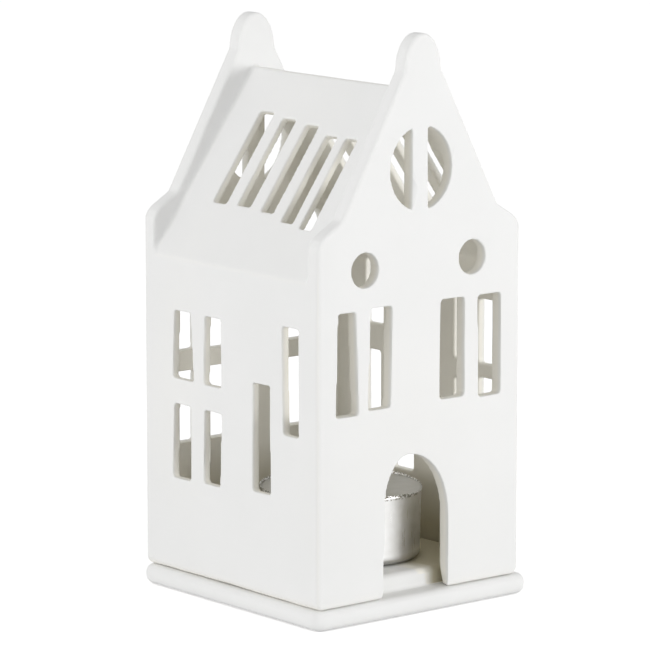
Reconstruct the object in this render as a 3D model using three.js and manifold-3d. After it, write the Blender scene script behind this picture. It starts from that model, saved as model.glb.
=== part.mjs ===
// A white ceramic canal house for one tealight. The hollow house shell lifts off a base plate,
// and the tealight inside is a cup, its wax, a wick and the sustainer that holds the wick.
// Millimetres, +Z up. The origin is the centre of the base plate's underside.
// The front gable faces -Y. Left and right are as a person facing the front gable sees them.

import * as THREE from 'three';
import { mergeVertices } from 'three/addons/utils/BufferGeometryUtils.js';
import Module from 'manifold-3d';

// House shell: walls and roof, heights above the shell's foot
const houseWidth = 60;
const houseDepth = 64;
const eaveHeight = 73.6;
const ridgeHeight = 116;
const sideWall = 2.1;
const roofWall = 1.9;
const gableWall = 3.1;
const outerEdgeRadius = 0.7;
const footRadius = 1.5;
const eaveRadius = 2.2;
const ridgeRadius = 1.2;
const cavityCornerRadius = 2.6;
const cavityEndRadius = 1.6;

// Stepped gables: the end walls rise past the roof as parapets, each with a shoulder and a knob
const parapetThickness = 4;
const shoulderAboveEave = 9.6;
const shoulderReach = 7;
const shoulderRise = 4.1;
const shoulderRadius = 4.5;
const shoulderInnerRadius = 2;
const neckAboveRidge = 3.4;
const neckRadius = 1.6;
const knobWidth = 11;
const knobHeight = 8.3;
const knobOffset = 0.55;
const parapetFilletRadius = 0.6;

// Front door, an arch open at the shell's foot. Its crown lies left of its middle, and each side curves in
// from its own springing height to the crown.
const doorLeftEdge = -10.75;
const doorRightEdge = 8.8;
const doorCrown = -3.2;
const doorHeight = 32.3;
const doorLeftSpringing = 21;
const doorRightSpringing = 16.5;

// Round windows: in each gable a large one, split by an upright bar, and a small one near each eave.
// Left and right are as a person facing that gable sees them. centre and barCentre are measured from the
// gable's middle, and a gap runs from the gable's corner to the middle of the small window nearest to it.
const frontSplitWindow = { halfWidth: 9.15, halfHeight: 9.7, centre: 0, barCentre: -0.3 };
const rearSplitWindow = { halfWidth: 9.65, halfHeight: 9.7, centre: -1.3, barCentre: -1.3 };
const frontRoundWindowGaps = { left: 13.7, right: 14.7 };
const rearRoundWindowGaps = { left: 12.2, right: 13.9 };
const splitWindowBelowRidge = 18.7;
const splitBarWidth = 4.6;
const roundWindowRadius = 4.05;
const roundWindowAboveEave = 2.2;

// Windows, wall by wall as a person facing that wall sees it. gap runs from the named corner of the wall
// to the window's nearer edge, belowEave is how far its head lies below the eave, and height runs from head
// to sill. spread is how far the foot of the nearer and of the farther edge stands out past its top.
const windowCornerRadius = 0.6;
const frontWindows = [
  { corner: 'left', gap: 5.9, width: 5.1, belowEave: 6.9, height: 23.6, spread: [0.6, 0.8] },
  { corner: 'left', gap: 15.4, width: 6.2, belowEave: 6.6, height: 23.1, spread: [0.7, -0.5] },
  { corner: 'right', gap: 16.9, width: 7, belowEave: 6.8, height: 22.9, spread: [0, 0.2] },
  { corner: 'right', gap: 5.9, width: 6.9, belowEave: 7, height: 23.5, spread: [0, -0.4] },
];
const leftWallWindows = [
  { corner: 'left', gap: 11.5, width: 6, belowEave: 12.2, height: 15.8, spread: [0.7, 1.1] },
  { corner: 'left', gap: 11.3, width: 6.1, belowEave: 34.2, height: 17.3, spread: [0.6, 0] },
  { corner: 'left', gap: 22.9, width: 6, belowEave: 12.1, height: 16, spread: [0.5, 0.1] },
  { corner: 'left', gap: 22.7, width: 6.5, belowEave: 34, height: 17.2, spread: [0.3, -0.7] },
  { corner: 'right', gap: 17.1, width: 6.4, belowEave: 24.8, height: 25.2, spread: [0.1, 0.1] },
  { corner: 'right', gap: 6.9, width: 5.9, belowEave: 10.7, height: 24.6, spread: [0, -0.3] },
];
const rightWallWindows = [
  ...paneColumn('left', 6.6, 5.6, [[28.85, 20.75], [10.3, 15.2]]),
  ...paneColumn('left', 15.4, 5.3, [[30, 19.6], [10.3, 15.2]]),
  ...paneColumn('right', 21, 7.6, [[34.6, 20.4], [12.1, 16.5]]),
  ...paneColumn('right', 11, 5.5, [[27.7, 16.9]]),
  ...paneColumn('right', 11, 6.5, [[5.6, 15.7]]),
];
const rearWindows = [
  ...paneColumn('left', 4.4, 6.3, [[28.5, 17.3], [7.6, 16.7]]),
  ...paneColumn('left', 13.4, 6.6, [[29.2, 16.6], [7.6, 17.2]]),
  ...paneColumn('right', 16.2, 6.6, [[28.5, 17.3], [7.6, 16.7]]),
  ...paneColumn('right', 6.8, 6.5, [[28.9, 16.9], [7.6, 16.3]]),
];

// Roof slots of each slope, from the rear gable forwards. fromRear runs from the rear face to the slot's
// centre line, and low and high are distances up the slope from the eave.
const slotCornerRadius = 0.5;
const leftRoofSlots = [
  { fromRear: 17.2, width: 5, low: 15.6, high: 39.9 },
  { fromRear: 25.9, width: 4.8, low: 15.7, high: 39 },
  { fromRear: 34.8, width: 4.6, low: 15.2, high: 38.3 },
  { fromRear: 43, width: 4.3, low: 13.6, high: 36.4 },
  { fromRear: 50.1, width: 4.2, low: 12.8, high: 36.4 },
];
const rightRoofSlots = [
  { fromRear: 20.2, width: 4.9, low: 15.6, high: 39.5 },
  { fromRear: 29.5, width: 4.9, low: 15.5, high: 39 },
  { fromRear: 38.5, width: 4.9, low: 15.2, high: 38.3 },
  { fromRear: 46.3, width: 4.6, low: 14, high: 37.2 },
  { fromRear: 54.6, width: 4.5, low: 13, high: 36.4 },
];

// Base plate: a flange that the shell stands on, round a plateau that fits up inside the shell
const flangeSideOverhang = 1.8;
const flangeEndOverhang = 0.9;
const flangeThickness = 4.9;
const flangeCornerRadius = 3;
const flangeEdgeRadius = 1.9;
const plateauClearance = 1.9;
const plateauHeight = 4;
const plateauCornerRadius = 3;
const plateauEdgeRadius = 1.4;
const recessInset = 4;
const recessDepth = 3.2;
const recessCornerRadius = 4;
const recessEdgeRadius = 1.2;

// Where the shell and the tealight have been set down on the base plate, from its middle
const shellOffsetX = -1;
const cupOffsetX = -0.7;
const cupOffsetY = -3.3;

// Tealight: a thin metal cup, and the candle in it
const cupHeight = 16.5;
const cupBaseRadius = 18.6;
const cupMouthRadius = 19;
const cupSkin = 0.4;
const cupBaseCornerRadius = 1.8;
const cupRimRadius = 19.75;
const cupRimRoll = 0.45;
const waxBelowRim = 0.7;
const waxDish = 0.5;
const waxSlopeReach = 8.9;
const waxSlopeDrop = 0.4;
const waxEdgeRadius = 0.8;
const wickRadius = 0.9;
const wickAboveWax = 5.9;
const wickLean = 0.9;
const sustainerRadius = 6.2;
const sustainerSkin = 0.3;
const sustainerNeckHeight = 3;

// Fits between the pieces
const seatGap = 0.3;
const candleGap = 0.3;

// Fineness of the faceted surfaces
const arcStep = Math.PI / 10;
const bevelSegments = 3;
const roundSegments = 48;
const sustainerSegments = 24;
const halfWindowSegments = 14;
const doorSideSegments = 9;
const knobSegments = 14;
const cupCornerSteps = 4;
const rimRollSteps = 6;
const waxCornerSteps = 3;
const wickSides = 10;
const wickSteps = 8;

// How far a cutter runs past the faces that it cuts
const cutMargin = 4;

// The most of an edge that the roundings at its two ends take up together
const roundingShare = 0.98;

// Directions
const right = new THREE.Vector3(1, 0, 0);
const back = new THREE.Vector3(0, 1, 0);
const up = new THREE.Vector3(0, 0, 1);
const left = right.clone().negate();
const front = back.clone().negate();

// Values that follow from the sizes above
const halfWidth = houseWidth / 2;
const halfDepth = houseDepth / 2;
const roofPitch = Math.atan2(ridgeHeight - eaveHeight, halfWidth);
const roofDrop = roofWall / Math.cos(roofPitch);
const shellFoot = flangeThickness + seatGap;
const cupFloor = flangeThickness + plateauHeight + seatGap;
const candleFloor = cupSkin + candleGap;
const waxTop = cupHeight - waxBelowRim;

const manifold = await Module();
manifold.setup();

// Windows above each other in one column, one for each pair of a distance below the eave and a height
function paneColumn(corner, gap, width, rows) {
  return rows.map(([belowEave, height]) => ({ corner, gap, width, belowEave, height, spread: [0, 0] }));
}

// A closed three.js geometry as a solid that can be joined and cut
function toSolid(geometry) {
  const bare = geometry.clone();
  bare.deleteAttribute('normal');
  bare.deleteAttribute('uv');
  const merged = mergeVertices(bare);
  return new manifold.Manifold(new manifold.Mesh({
    numProp: 3,
    vertProperties: new Float32Array(merged.attributes.position.array),
    triVerts: new Uint32Array(merged.index.array),
  }));
}

// A solid as a three.js geometry
function toGeometry(solid) {
  const mesh = solid.getMesh();
  const geometry = new THREE.BufferGeometry();
  geometry.setAttribute('position', new THREE.BufferAttribute(mesh.vertProperties, mesh.numProp));
  geometry.setIndex(new THREE.BufferAttribute(mesh.triVerts, 1));
  geometry.computeVertexNormals();
  return geometry;
}

// Points along an elliptical arc round a centre, both ends included
function ellipsePoints(x, y, radiusX, radiusY, startAngle, sweep, steps) {
  const points = [];
  for (let step = 0; step <= steps; step++) {
    const angle = startAngle + (sweep * step) / steps;
    points.push(new THREE.Vector2(x + radiusX * Math.cos(angle), y + radiusY * Math.sin(angle)));
  }
  return points;
}

// Points along a circular arc round a centre, both ends included
function arcPoints(x, y, radius, startAngle, sweep, steps) {
  return ellipsePoints(x, y, radius, radius, startAngle, sweep, steps);
}

// A closed outline through corners given as [x, y, radius], each rounded by its radius. Where two roundings
// would take up more than the edge between them, both become small enough to share it.
function roundedOutline(corners) {
  const places = corners.map(([x, y]) => new THREE.Vector2(x, y));
  const around = places.map((corner, index) => {
    const before = places.at(index - 1).clone().sub(corner);
    const after = places[(index + 1) % places.length].clone().sub(corner);
    const halfAngle = Math.acos(before.dot(after) / before.length() / after.length()) / 2;
    const tangent = (corners[index][2] ?? 0) / Math.tan(halfAngle);
    return { before, after, halfAngle, tangent };
  });
  const points = [];
  around.forEach(({ before, after, halfAngle, tangent: wanted }, index) => {
    const corner = places[index];
    if (wanted === 0) {
      points.push(corner);
      return;
    }
    const sharedBefore = before.length() / (wanted + around.at(index - 1).tangent);
    const sharedAfter = after.length() / (wanted + around[(index + 1) % around.length].tangent);
    const tangent = wanted * Math.min(1, roundingShare * sharedBefore, roundingShare * sharedAfter);
    const radius = tangent * Math.tan(halfAngle);
    const toBefore = before.clone().normalize();
    const toAfter = after.clone().normalize();
    const inwards = toBefore.clone().add(toAfter).normalize();
    const centre = corner.clone().addScaledVector(inwards, radius / Math.sin(halfAngle));
    const start = corner.clone().addScaledVector(toBefore, tangent).sub(centre);
    const end = corner.clone().addScaledVector(toAfter, tangent).sub(centre);
    const sweep = Math.atan2(start.cross(end), start.dot(end));
    const steps = Math.max(2, Math.round(Math.abs(sweep) / arcStep));
    points.push(...arcPoints(centre.x, centre.y, radius, start.angle(), sweep, steps));
  });
  return points;
}

// A rectangle round a centre, with rounded corners
function roundedRectangle(centreX, centreY, width, height, radius) {
  return roundedOutline([
    [centreX - width / 2, centreY - height / 2, radius],
    [centreX + width / 2, centreY - height / 2, radius],
    [centreX + width / 2, centreY + height / 2, radius],
    [centreX - width / 2, centreY + height / 2, radius],
  ]);
}

// A solid from an outline that lies in the plane of two directions, pushed along their cross product.
// With an edge radius, the edges round both end faces are rounded.
function extruded(outline, length, origin, across, upwards, edgeRadius = 0) {
  const geometry = new THREE.ExtrudeGeometry(new THREE.Shape(outline), {
    depth: length - 2 * edgeRadius,
    bevelEnabled: edgeRadius > 0,
    bevelThickness: edgeRadius,
    bevelSize: edgeRadius,
    bevelOffset: -edgeRadius,
    bevelSegments,
  });
  geometry.translate(0, 0, edgeRadius);
  const outwards = new THREE.Vector3().crossVectors(across, upwards);
  geometry.applyMatrix4(new THREE.Matrix4().makeBasis(across, upwards, outwards).setPosition(origin));
  return toSolid(geometry);
}

// A slab with rounded corners that lies flat between two heights
function flatSlab(width, depth, low, high, cornerRadius, edgeRadius) {
  const outline = roundedRectangle(0, 0, width, depth, cornerRadius);
  return extruded(outline, high - low, new THREE.Vector3(0, 0, low), right, back, edgeRadius);
}

// A profile of radii and heights turned round the upright axis
function revolved(profile, segments) {
  return new THREE.LatheGeometry(profile, segments).rotateX(Math.PI / 2);
}

// A solid through rings of equally many points, from front to back, anticlockwise as seen from the front
function lofted(rings) {
  const count = rings[0].length;
  const endOutline = rings[0].map(({ x, z }) => new THREE.Vector2(x, z));
  const indices = [];
  for (const [a, b, c] of THREE.ShapeUtils.triangulateShape(endOutline, [])) {
    const last = (rings.length - 1) * count;
    indices.push(a, b, c, last + a, last + c, last + b);
  }
  for (let ring = 0; ring < rings.length - 1; ring++) {
    for (let step = 0; step < count; step++) {
      const here = ring * count + step;
      const next = ring * count + ((step + 1) % count);
      indices.push(here, here + count, next, next, here + count, next + count);
    }
  }
  const geometry = new THREE.BufferGeometry().setFromPoints(rings.flat());
  geometry.setIndex(indices);
  return toSolid(geometry);
}

// The outline of a gable wall, from its foot over both shoulders to the knob
function gableOutline() {
  const shoulder = eaveHeight + shoulderAboveEave;
  const neck = ridgeHeight + neckAboveRidge;
  const rightHalf = [
    [halfWidth, 0, footRadius],
    [halfWidth, shoulder, shoulderRadius],
    [halfWidth - shoulderReach, shoulder + shoulderRise, shoulderInnerRadius],
  ];
  const leftHalf = rightHalf.map(([x, z, radius]) => [-x, z, radius]).reverse();
  const dome = ellipsePoints(knobOffset, neck, knobWidth / 2, knobHeight, 0, Math.PI, knobSegments);
  const knob = dome.map((point, index) => {
    const atNeck = index === 0 || index === knobSegments;
    return [point.x, point.y, atNeck ? neckRadius : 0];
  });
  return roundedOutline([...rightHalf, ...knob, ...leftHalf]);
}

// The house's cross-section: two walls and a pitched roof
function houseSection(half, foot, eave, ridge, radii) {
  return roundedOutline([
    [-half, foot, radii.foot],
    [half, foot, radii.foot],
    [half, eave, radii.eave],
    [0, ridge, radii.ridge],
    [-half, eave, radii.eave],
  ]);
}

// The body between the gables. Its roof sweeps up to each gable in a soft fillet, and it ends inside them.
function houseBody() {
  const radii = { foot: footRadius, eave: eaveRadius, ridge: ridgeRadius };
  const ringAt = (y, lift) => {
    const rise = lift / Math.cos(roofPitch);
    const section = houseSection(halfWidth, 0, eaveHeight + rise, ridgeHeight + rise, radii);
    return section.map((point) => new THREE.Vector3(point.x, y, point.y));
  };
  const steps = Math.ceil(Math.PI / 2 / arcStep);
  const radius = parapetFilletRadius;
  const filletFoot = halfDepth - parapetThickness - radius;
  const fillet = arcPoints(filletFoot, radius, radius, 0, -Math.PI / 2, steps);
  const backRings = [ringAt(halfDepth - outerEdgeRadius, radius)];
  backRings.push(...fillet.map((point) => ringAt(point.x, point.y)));
  const frontRings = backRings.map((ring) => ring.map(({ x, y, z }) => new THREE.Vector3(x, -y, z)));
  return lofted([...frontRings, ...backRings.reverse()]);
}

// A gable wall, with its outer face towards the front or the back
function gable(direction) {
  const outerFace = direction.y * halfDepth;
  const rearFace = direction === back ? outerFace : outerFace + parapetThickness;
  const origin = new THREE.Vector3(0, rearFace, 0);
  return extruded(gableOutline(), parapetThickness, origin, right, up, outerEdgeRadius);
}

// The hollow of the house, open at the foot
function houseCavity() {
  const half = halfWidth - sideWall;
  const ridge = ridgeHeight - roofDrop;
  const eave = ridge - half * Math.tan(roofPitch);
  const radii = { foot: 0, eave: cavityCornerRadius, ridge: cavityCornerRadius };
  const section = houseSection(half, -cutMargin, eave, ridge, radii);
  const start = halfDepth - gableWall;
  return extruded(section, 2 * start, new THREE.Vector3(0, start, 0), right, up, cavityEndRadius);
}

// The direction up a roof slope and its outward normal. side is -1 on the left and 1 on the right.
function slopeDirections(side) {
  const upSlope = new THREE.Vector3(-side * Math.cos(roofPitch), 0, Math.sin(roofPitch));
  const normal = new THREE.Vector3(side * Math.sin(roofPitch), 0, Math.cos(roofPitch));
  return { upSlope, normal };
}

// The solid house before it is hollowed
function solidHouse() {
  return houseBody().add(gable(front)).add(gable(back));
}

// The walls as seen from outside: which way each faces and runs, its size and its windows
const gableWallSize = { width: houseWidth, reach: halfDepth, thickness: gableWall };
const sideWallSize = { width: houseDepth, reach: halfWidth, thickness: sideWall };
const walls = {
  front: {
    outwards: front,
    across: right,
    ...gableWallSize,
    windows: frontWindows,
    splitWindow: frontSplitWindow,
    roundWindowGaps: frontRoundWindowGaps,
  },
  rear: {
    outwards: back,
    across: left,
    ...gableWallSize,
    windows: rearWindows,
    splitWindow: rearSplitWindow,
    roundWindowGaps: rearRoundWindowGaps,
  },
  left: { outwards: left, across: front, ...sideWallSize, windows: leftWallWindows },
  right: { outwards: right, across: back, ...sideWallSize, windows: rightWallWindows },
};

// A hole right through a wall, with its outline drawn across and up the wall from the middle of its foot
function wallHole(wall, outline) {
  const insideFace = wall.reach - wall.thickness - cutMargin;
  const origin = wall.outwards.clone().multiplyScalar(insideFace);
  return extruded(outline, wall.thickness + 2 * cutMargin, origin, wall.across, up);
}

// A window cut through a wall, with a level head and sill
function windowHole(wall, opening) {
  const towardsCorner = opening.corner === 'left' ? -1 : 1;
  const nearTop = towardsCorner * (wall.width / 2 - opening.gap);
  const farTop = nearTop - towardsCorner * opening.width;
  const [nearSpread, farSpread] = opening.spread;
  const nearFoot = nearTop + towardsCorner * nearSpread;
  const farFoot = farTop - towardsCorner * farSpread;
  const head = eaveHeight - opening.belowEave;
  const sill = head - opening.height;
  return wallHole(wall, roundedOutline([
    [nearFoot, sill, windowCornerRadius],
    [farFoot, sill, windowCornerRadius],
    [farTop, head, windowCornerRadius],
    [nearTop, head, windowCornerRadius],
  ]));
}

// The arched door, open downwards
function doorHole() {
  const quarter = Math.PI / 2;
  const leftReach = doorCrown - doorLeftEdge;
  const rightReach = doorRightEdge - doorCrown;
  const leftRise = doorHeight - doorLeftSpringing;
  const rightRise = doorHeight - doorRightSpringing;
  const rightSide = ellipsePoints(
    doorCrown, doorRightSpringing, rightReach, rightRise, 0, quarter, doorSideSegments,
  );
  const leftSide = ellipsePoints(
    doorCrown, doorLeftSpringing, leftReach, leftRise, quarter, quarter, doorSideSegments,
  );
  const outline = [
    new THREE.Vector2(doorLeftEdge, -cutMargin),
    new THREE.Vector2(doorRightEdge, -cutMargin),
    ...rightSide,
    ...leftSide.slice(1),
  ];
  return wallHole(walls.front, outline);
}

// A small round window in a gable, its centre measured from the gable's middle
function roundWindowHole(wall, centre) {
  const height = eaveHeight + roundWindowAboveEave;
  const outline = arcPoints(centre, height, roundWindowRadius, 0, 2 * Math.PI, 2 * halfWindowSegments);
  return wallHole(wall, outline.slice(0, -1));
}

// One half of the split round window. side is -1 left of the bar and 1 right of it.
function splitWindowHole(wall, side) {
  const { halfWidth: radiusX, halfHeight: radiusZ, centre, barCentre } = wall.splitWindow;
  const height = ridgeHeight - splitWindowBelowRidge;
  const barEdge = barCentre - centre + (side * splitBarWidth) / 2;
  const halfSweep = Math.acos((side * barEdge) / radiusX);
  const middleAngle = side > 0 ? 0 : Math.PI;
  const startAngle = middleAngle - halfSweep;
  const sweep = 2 * halfSweep;
  const outline = ellipsePoints(centre, height, radiusX, radiusZ, startAngle, sweep, halfWindowSegments);
  return wallHole(wall, outline);
}

// A slot through one roof slope
function roofSlotHole(side, slot) {
  const { upSlope, normal } = slopeDirections(side);
  const across = new THREE.Vector3().crossVectors(upSlope, normal);
  const middle = (slot.low + slot.high) / 2;
  const outline = roundedRectangle(0, middle, slot.width, slot.high - slot.low, slotCornerRadius);
  const origin = new THREE.Vector3(side * halfWidth, halfDepth - slot.fromRear, eaveHeight);
  origin.addScaledVector(normal, -roofWall - cutMargin);
  return extruded(outline, roofWall + 2 * cutMargin, origin, across, upSlope);
}

// Every opening in the walls and the roof
function allHoles() {
  const holes = [doorHole()];
  for (const wall of [walls.front, walls.rear]) {
    holes.push(splitWindowHole(wall, -1), splitWindowHole(wall, 1));
    holes.push(roundWindowHole(wall, wall.roundWindowGaps.left - halfWidth));
    holes.push(roundWindowHole(wall, halfWidth - wall.roundWindowGaps.right));
  }
  for (const wall of Object.values(walls)) {
    holes.push(...wall.windows.map((opening) => windowHole(wall, opening)));
  }
  holes.push(...leftRoofSlots.map((slot) => roofSlotHole(-1, slot)));
  holes.push(...rightRoofSlots.map((slot) => roofSlotHole(1, slot)));
  return holes;
}

// The hollow house in one piece, standing on its foot at height 0
function houseShellGeometry() {
  let solid = solidHouse().subtract(houseCavity());
  for (const hole of allHoles()) {
    solid = solid.subtract(hole);
  }
  return toGeometry(solid);
}

// The base plate: flange, plateau and the shallow recess under it
function basePlateGeometry() {
  const flangeWidth = houseWidth + 2 * flangeSideOverhang;
  const flangeDepth = houseDepth + 2 * flangeEndOverhang;
  const plateauWidth = houseWidth - 2 * (sideWall + plateauClearance);
  const plateauDepth = houseDepth - 2 * (gableWall + plateauClearance);
  const plateauTop = flangeThickness + plateauHeight;
  const recessWidth = plateauWidth - 2 * recessInset;
  const recessLength = plateauDepth - 2 * recessInset;
  const flange = flatSlab(
    flangeWidth, flangeDepth, 0, flangeThickness, flangeCornerRadius, flangeEdgeRadius,
  );
  const plateau = flatSlab(
    plateauWidth, plateauDepth, flangeThickness / 2, plateauTop, plateauCornerRadius, plateauEdgeRadius,
  );
  const recess = flatSlab(
    recessWidth, recessLength, -cutMargin, recessDepth, recessCornerRadius, recessEdgeRadius,
  );
  return toGeometry(flange.add(plateau).subtract(recess));
}

// The tealight's cup: a tapered thin skin with a rounded base and a rolled rim
function cupGeometry() {
  const rimHeight = cupHeight - cupRimRoll;
  const rimCentre = cupRimRadius - cupRimRoll;
  const outerCorner = cupBaseRadius - cupBaseCornerRadius;
  const innerCornerRadius = cupBaseCornerRadius - cupSkin;
  const quarter = Math.PI / 2;
  const profile = [
    new THREE.Vector2(0, 0),
    ...arcPoints(outerCorner, cupBaseCornerRadius, cupBaseCornerRadius, -quarter, quarter, cupCornerSteps),
    new THREE.Vector2(cupMouthRadius, rimHeight - cupRimRoll),
    ...arcPoints(rimCentre, rimHeight, cupRimRoll, -quarter, 2 * quarter, rimRollSteps),
    new THREE.Vector2(cupMouthRadius - cupSkin, rimHeight),
    ...arcPoints(outerCorner, cupBaseCornerRadius, innerCornerRadius, 0, -quarter, cupCornerSteps),
    new THREE.Vector2(0, cupSkin),
  ];
  return revolved(profile, roundSegments);
}

// The inside radius of the cup at a height above the cup's underside
function cupInnerRadius(height) {
  const wallFoot = cupBaseCornerRadius;
  const wallTop = cupHeight - 2 * cupRimRoll;
  const share = (height - wallFoot) / (wallTop - wallFoot);
  return cupBaseRadius + share * (cupMouthRadius - cupBaseRadius) - cupSkin;
}

// The wax: it fills the cup up to a shallow dish, round the wick and over the sustainer
function waxGeometry() {
  const wickHole = wickRadius + candleGap;
  const neckHole = sustainerNeckRadius() + candleGap;
  const neckRoof = candleFloor + sustainerSkin + sustainerNeckHeight + candleGap;
  const discHole = sustainerRadius + candleGap;
  const discRoof = candleFloor + sustainerSkin + candleGap;
  const footCorner = cupBaseRadius - cupBaseCornerRadius;
  const footRadiusInside = cupBaseCornerRadius - cupSkin - candleGap;
  const topEdge = cupInnerRadius(waxTop) - candleGap - waxEdgeRadius;
  const quarter = Math.PI / 2;
  const profile = [
    new THREE.Vector2(discHole, candleFloor),
    ...arcPoints(footCorner, cupBaseCornerRadius, footRadiusInside, -quarter, quarter, waxCornerSteps),
    ...arcPoints(topEdge, waxTop - waxEdgeRadius, waxEdgeRadius, 0, quarter, waxCornerSteps),
    new THREE.Vector2(topEdge - waxSlopeReach, waxTop - waxSlopeDrop),
    new THREE.Vector2(wickHole, waxTop - waxDish),
    new THREE.Vector2(wickHole, neckRoof),
    new THREE.Vector2(neckHole, neckRoof),
    new THREE.Vector2(neckHole, discRoof),
    new THREE.Vector2(discHole, discRoof),
    new THREE.Vector2(discHole, candleFloor),
  ];
  return revolved(profile, roundSegments);
}

// The outside radius of the sustainer's neck, which stands round the wick
function sustainerNeckRadius() {
  return wickRadius + candleGap + sustainerSkin;
}

// The wick sustainer: a flat disc with a short neck that grips the foot of the wick
function sustainerGeometry() {
  const neckInside = wickRadius + candleGap;
  const neckOutside = sustainerNeckRadius();
  const discTop = candleFloor + sustainerSkin;
  const profile = [
    new THREE.Vector2(neckInside, candleFloor),
    new THREE.Vector2(sustainerRadius, candleFloor),
    new THREE.Vector2(sustainerRadius, discTop),
    new THREE.Vector2(neckOutside, discTop),
    new THREE.Vector2(neckOutside, discTop + sustainerNeckHeight),
    new THREE.Vector2(neckInside, discTop + sustainerNeckHeight),
    new THREE.Vector2(neckInside, candleFloor),
  ];
  return revolved(profile, sustainerSegments);
}

// The wick: it rises straight through the wax and leans a little above it
function wickGeometry() {
  const tip = waxTop + wickAboveWax;
  const path = new THREE.CatmullRomCurve3([
    new THREE.Vector3(0, 0, candleFloor),
    new THREE.Vector3(0, 0, waxTop / 2),
    new THREE.Vector3(0, 0, waxTop),
    new THREE.Vector3(wickLean, 0, tip),
  ]);
  const section = arcPoints(0, 0, wickRadius, 0, 2 * Math.PI, wickSides).slice(0, -1);
  return new THREE.ExtrudeGeometry(new THREE.Shape(section), { steps: wickSteps, extrudePath: path });
}

// A named piece with its own finish
function piece(name, geometry, finish) {
  const mesh = new THREE.Mesh(geometry, new THREE.MeshStandardMaterial(finish));
  mesh.name = name;
  return mesh;
}

// The tealight, with the origin at the centre of the cup's underside
function tealight() {
  const group = new THREE.Group();
  group.add(piece('tealight_cup', cupGeometry(), { color: 0xc9c9c6, roughness: 0.35, metalness: 1 }));
  group.add(piece('wax', waxGeometry(), { color: 0xf3f1ea, roughness: 0.45, metalness: 0 }));
  group.add(piece('wick', wickGeometry(), { color: 0xefeadd, roughness: 0.9, metalness: 0 }));
  group.add(piece('wick_sustainer', sustainerGeometry(), { color: 0xb9b9b7, roughness: 0.4, metalness: 1 }));
  return group;
}

const ceramic = { color: 0xf1f1ef, roughness: 0.6, metalness: 0 };
const lantern = new THREE.Group();
lantern.add(piece('base_plate', basePlateGeometry(), ceramic));

const houseShell = piece('house_shell', houseShellGeometry(), ceramic);
houseShell.position.set(shellOffsetX, 0, shellFoot);
lantern.add(houseShell);

const candle = tealight();
candle.position.set(cupOffsetX, cupOffsetY, cupFloor);
lantern.add(candle);

export default lantern;
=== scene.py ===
"""A white ceramic canal house that stands on a base plate over a tealight.

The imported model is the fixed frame. The house shell and the base plate are grown from their
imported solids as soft, hand-finished castings. The tealight's cup, wax, wick and sustainer are
modelled anew inside the space that their solids hold. Metres, +Z up, front gable towards -Y.
"""

from __future__ import annotations

import logging
import math
from dataclasses import dataclass
from enum import Enum

import bmesh
import bpy
import numpy as np
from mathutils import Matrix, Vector

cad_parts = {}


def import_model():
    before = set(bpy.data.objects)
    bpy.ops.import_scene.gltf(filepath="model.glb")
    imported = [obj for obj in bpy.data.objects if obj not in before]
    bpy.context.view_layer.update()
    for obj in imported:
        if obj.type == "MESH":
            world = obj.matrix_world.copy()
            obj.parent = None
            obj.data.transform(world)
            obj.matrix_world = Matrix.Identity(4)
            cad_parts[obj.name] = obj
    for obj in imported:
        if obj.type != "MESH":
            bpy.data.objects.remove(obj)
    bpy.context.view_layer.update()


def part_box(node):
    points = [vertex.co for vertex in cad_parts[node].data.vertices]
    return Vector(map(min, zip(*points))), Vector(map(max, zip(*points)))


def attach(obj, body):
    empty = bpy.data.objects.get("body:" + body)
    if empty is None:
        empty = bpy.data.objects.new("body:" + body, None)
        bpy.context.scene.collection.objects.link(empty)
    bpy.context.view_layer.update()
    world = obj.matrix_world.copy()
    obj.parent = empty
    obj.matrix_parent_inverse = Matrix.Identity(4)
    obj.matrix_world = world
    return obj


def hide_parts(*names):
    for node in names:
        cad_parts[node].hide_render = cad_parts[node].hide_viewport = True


MM = 0.001

Colour = tuple[float, float, float]
Place = tuple[float, float, float]
Span = tuple[float, float]
Profile = list[tuple[float, float]]

RISING: Span = (0.0, 1.0)
FALLING: Span = (1.0, 0.0)

# The mesh attribute that says how far a point lies through the wall of a casting, 0 outside and 1 inside;
# the finish paints its lighter inside and its painted shade by it, and on the plate it marks painted shade
DEPTH = "depth"

# The stretch of a noise's values over which a finish goes from its smoothest to its roughest
GLOSS_SPREAD: Span = (0.3, 0.7)

# A Mix node's sockets have the same names for numbers and for colours, so they are told by their places
NUMBER_INPUTS = (2, 3)
NUMBER_OUTPUT = 0
COLOUR_INPUTS = (6, 7)
COLOUR_OUTPUT = 2

# The six sides of a block whose corners are counted with the last direction changing first
BLOCK_SIDES = ((0, 1, 3, 2), (4, 6, 7, 5), (0, 4, 5, 1), (2, 3, 7, 6), (0, 2, 6, 4), (1, 5, 7, 3))

log = logging.getLogger("lantern")


class Body(Enum):
    """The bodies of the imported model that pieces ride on."""

    BASE = "base"
    HOUSE = "house"
    TEALIGHT = "tealight"


class Slot(Enum):
    """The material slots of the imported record."""

    CERAMIC = "ceramic"
    CUP_METAL = "cup_metal"
    WAX = "wax"
    WICK_COTTON = "wick_cotton"
    SUSTAINER_METAL = "sustainer_metal"


class Grain(Enum):
    """Which way the fine marks of a surface run."""

    EVEN = (1.0, 1.0, 1.0)
    UPRIGHT = (1.0, 1.0, 0.04)
    LEVEL = (0.05, 0.05, 1.0)


@dataclass(frozen=True)
class Speckle:
    """Soft random spots on a surface.

    Attributes:
        size: The size of a spot in metres.
        detail: How many finer layers it has.
        used: The stretch of its values that goes from one colour to the next.
        grain: The way that the spots are drawn out.
    """

    size: float
    detail: float
    used: Span = (0.35, 0.65)
    grain: Grain = Grain.EVEN


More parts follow.
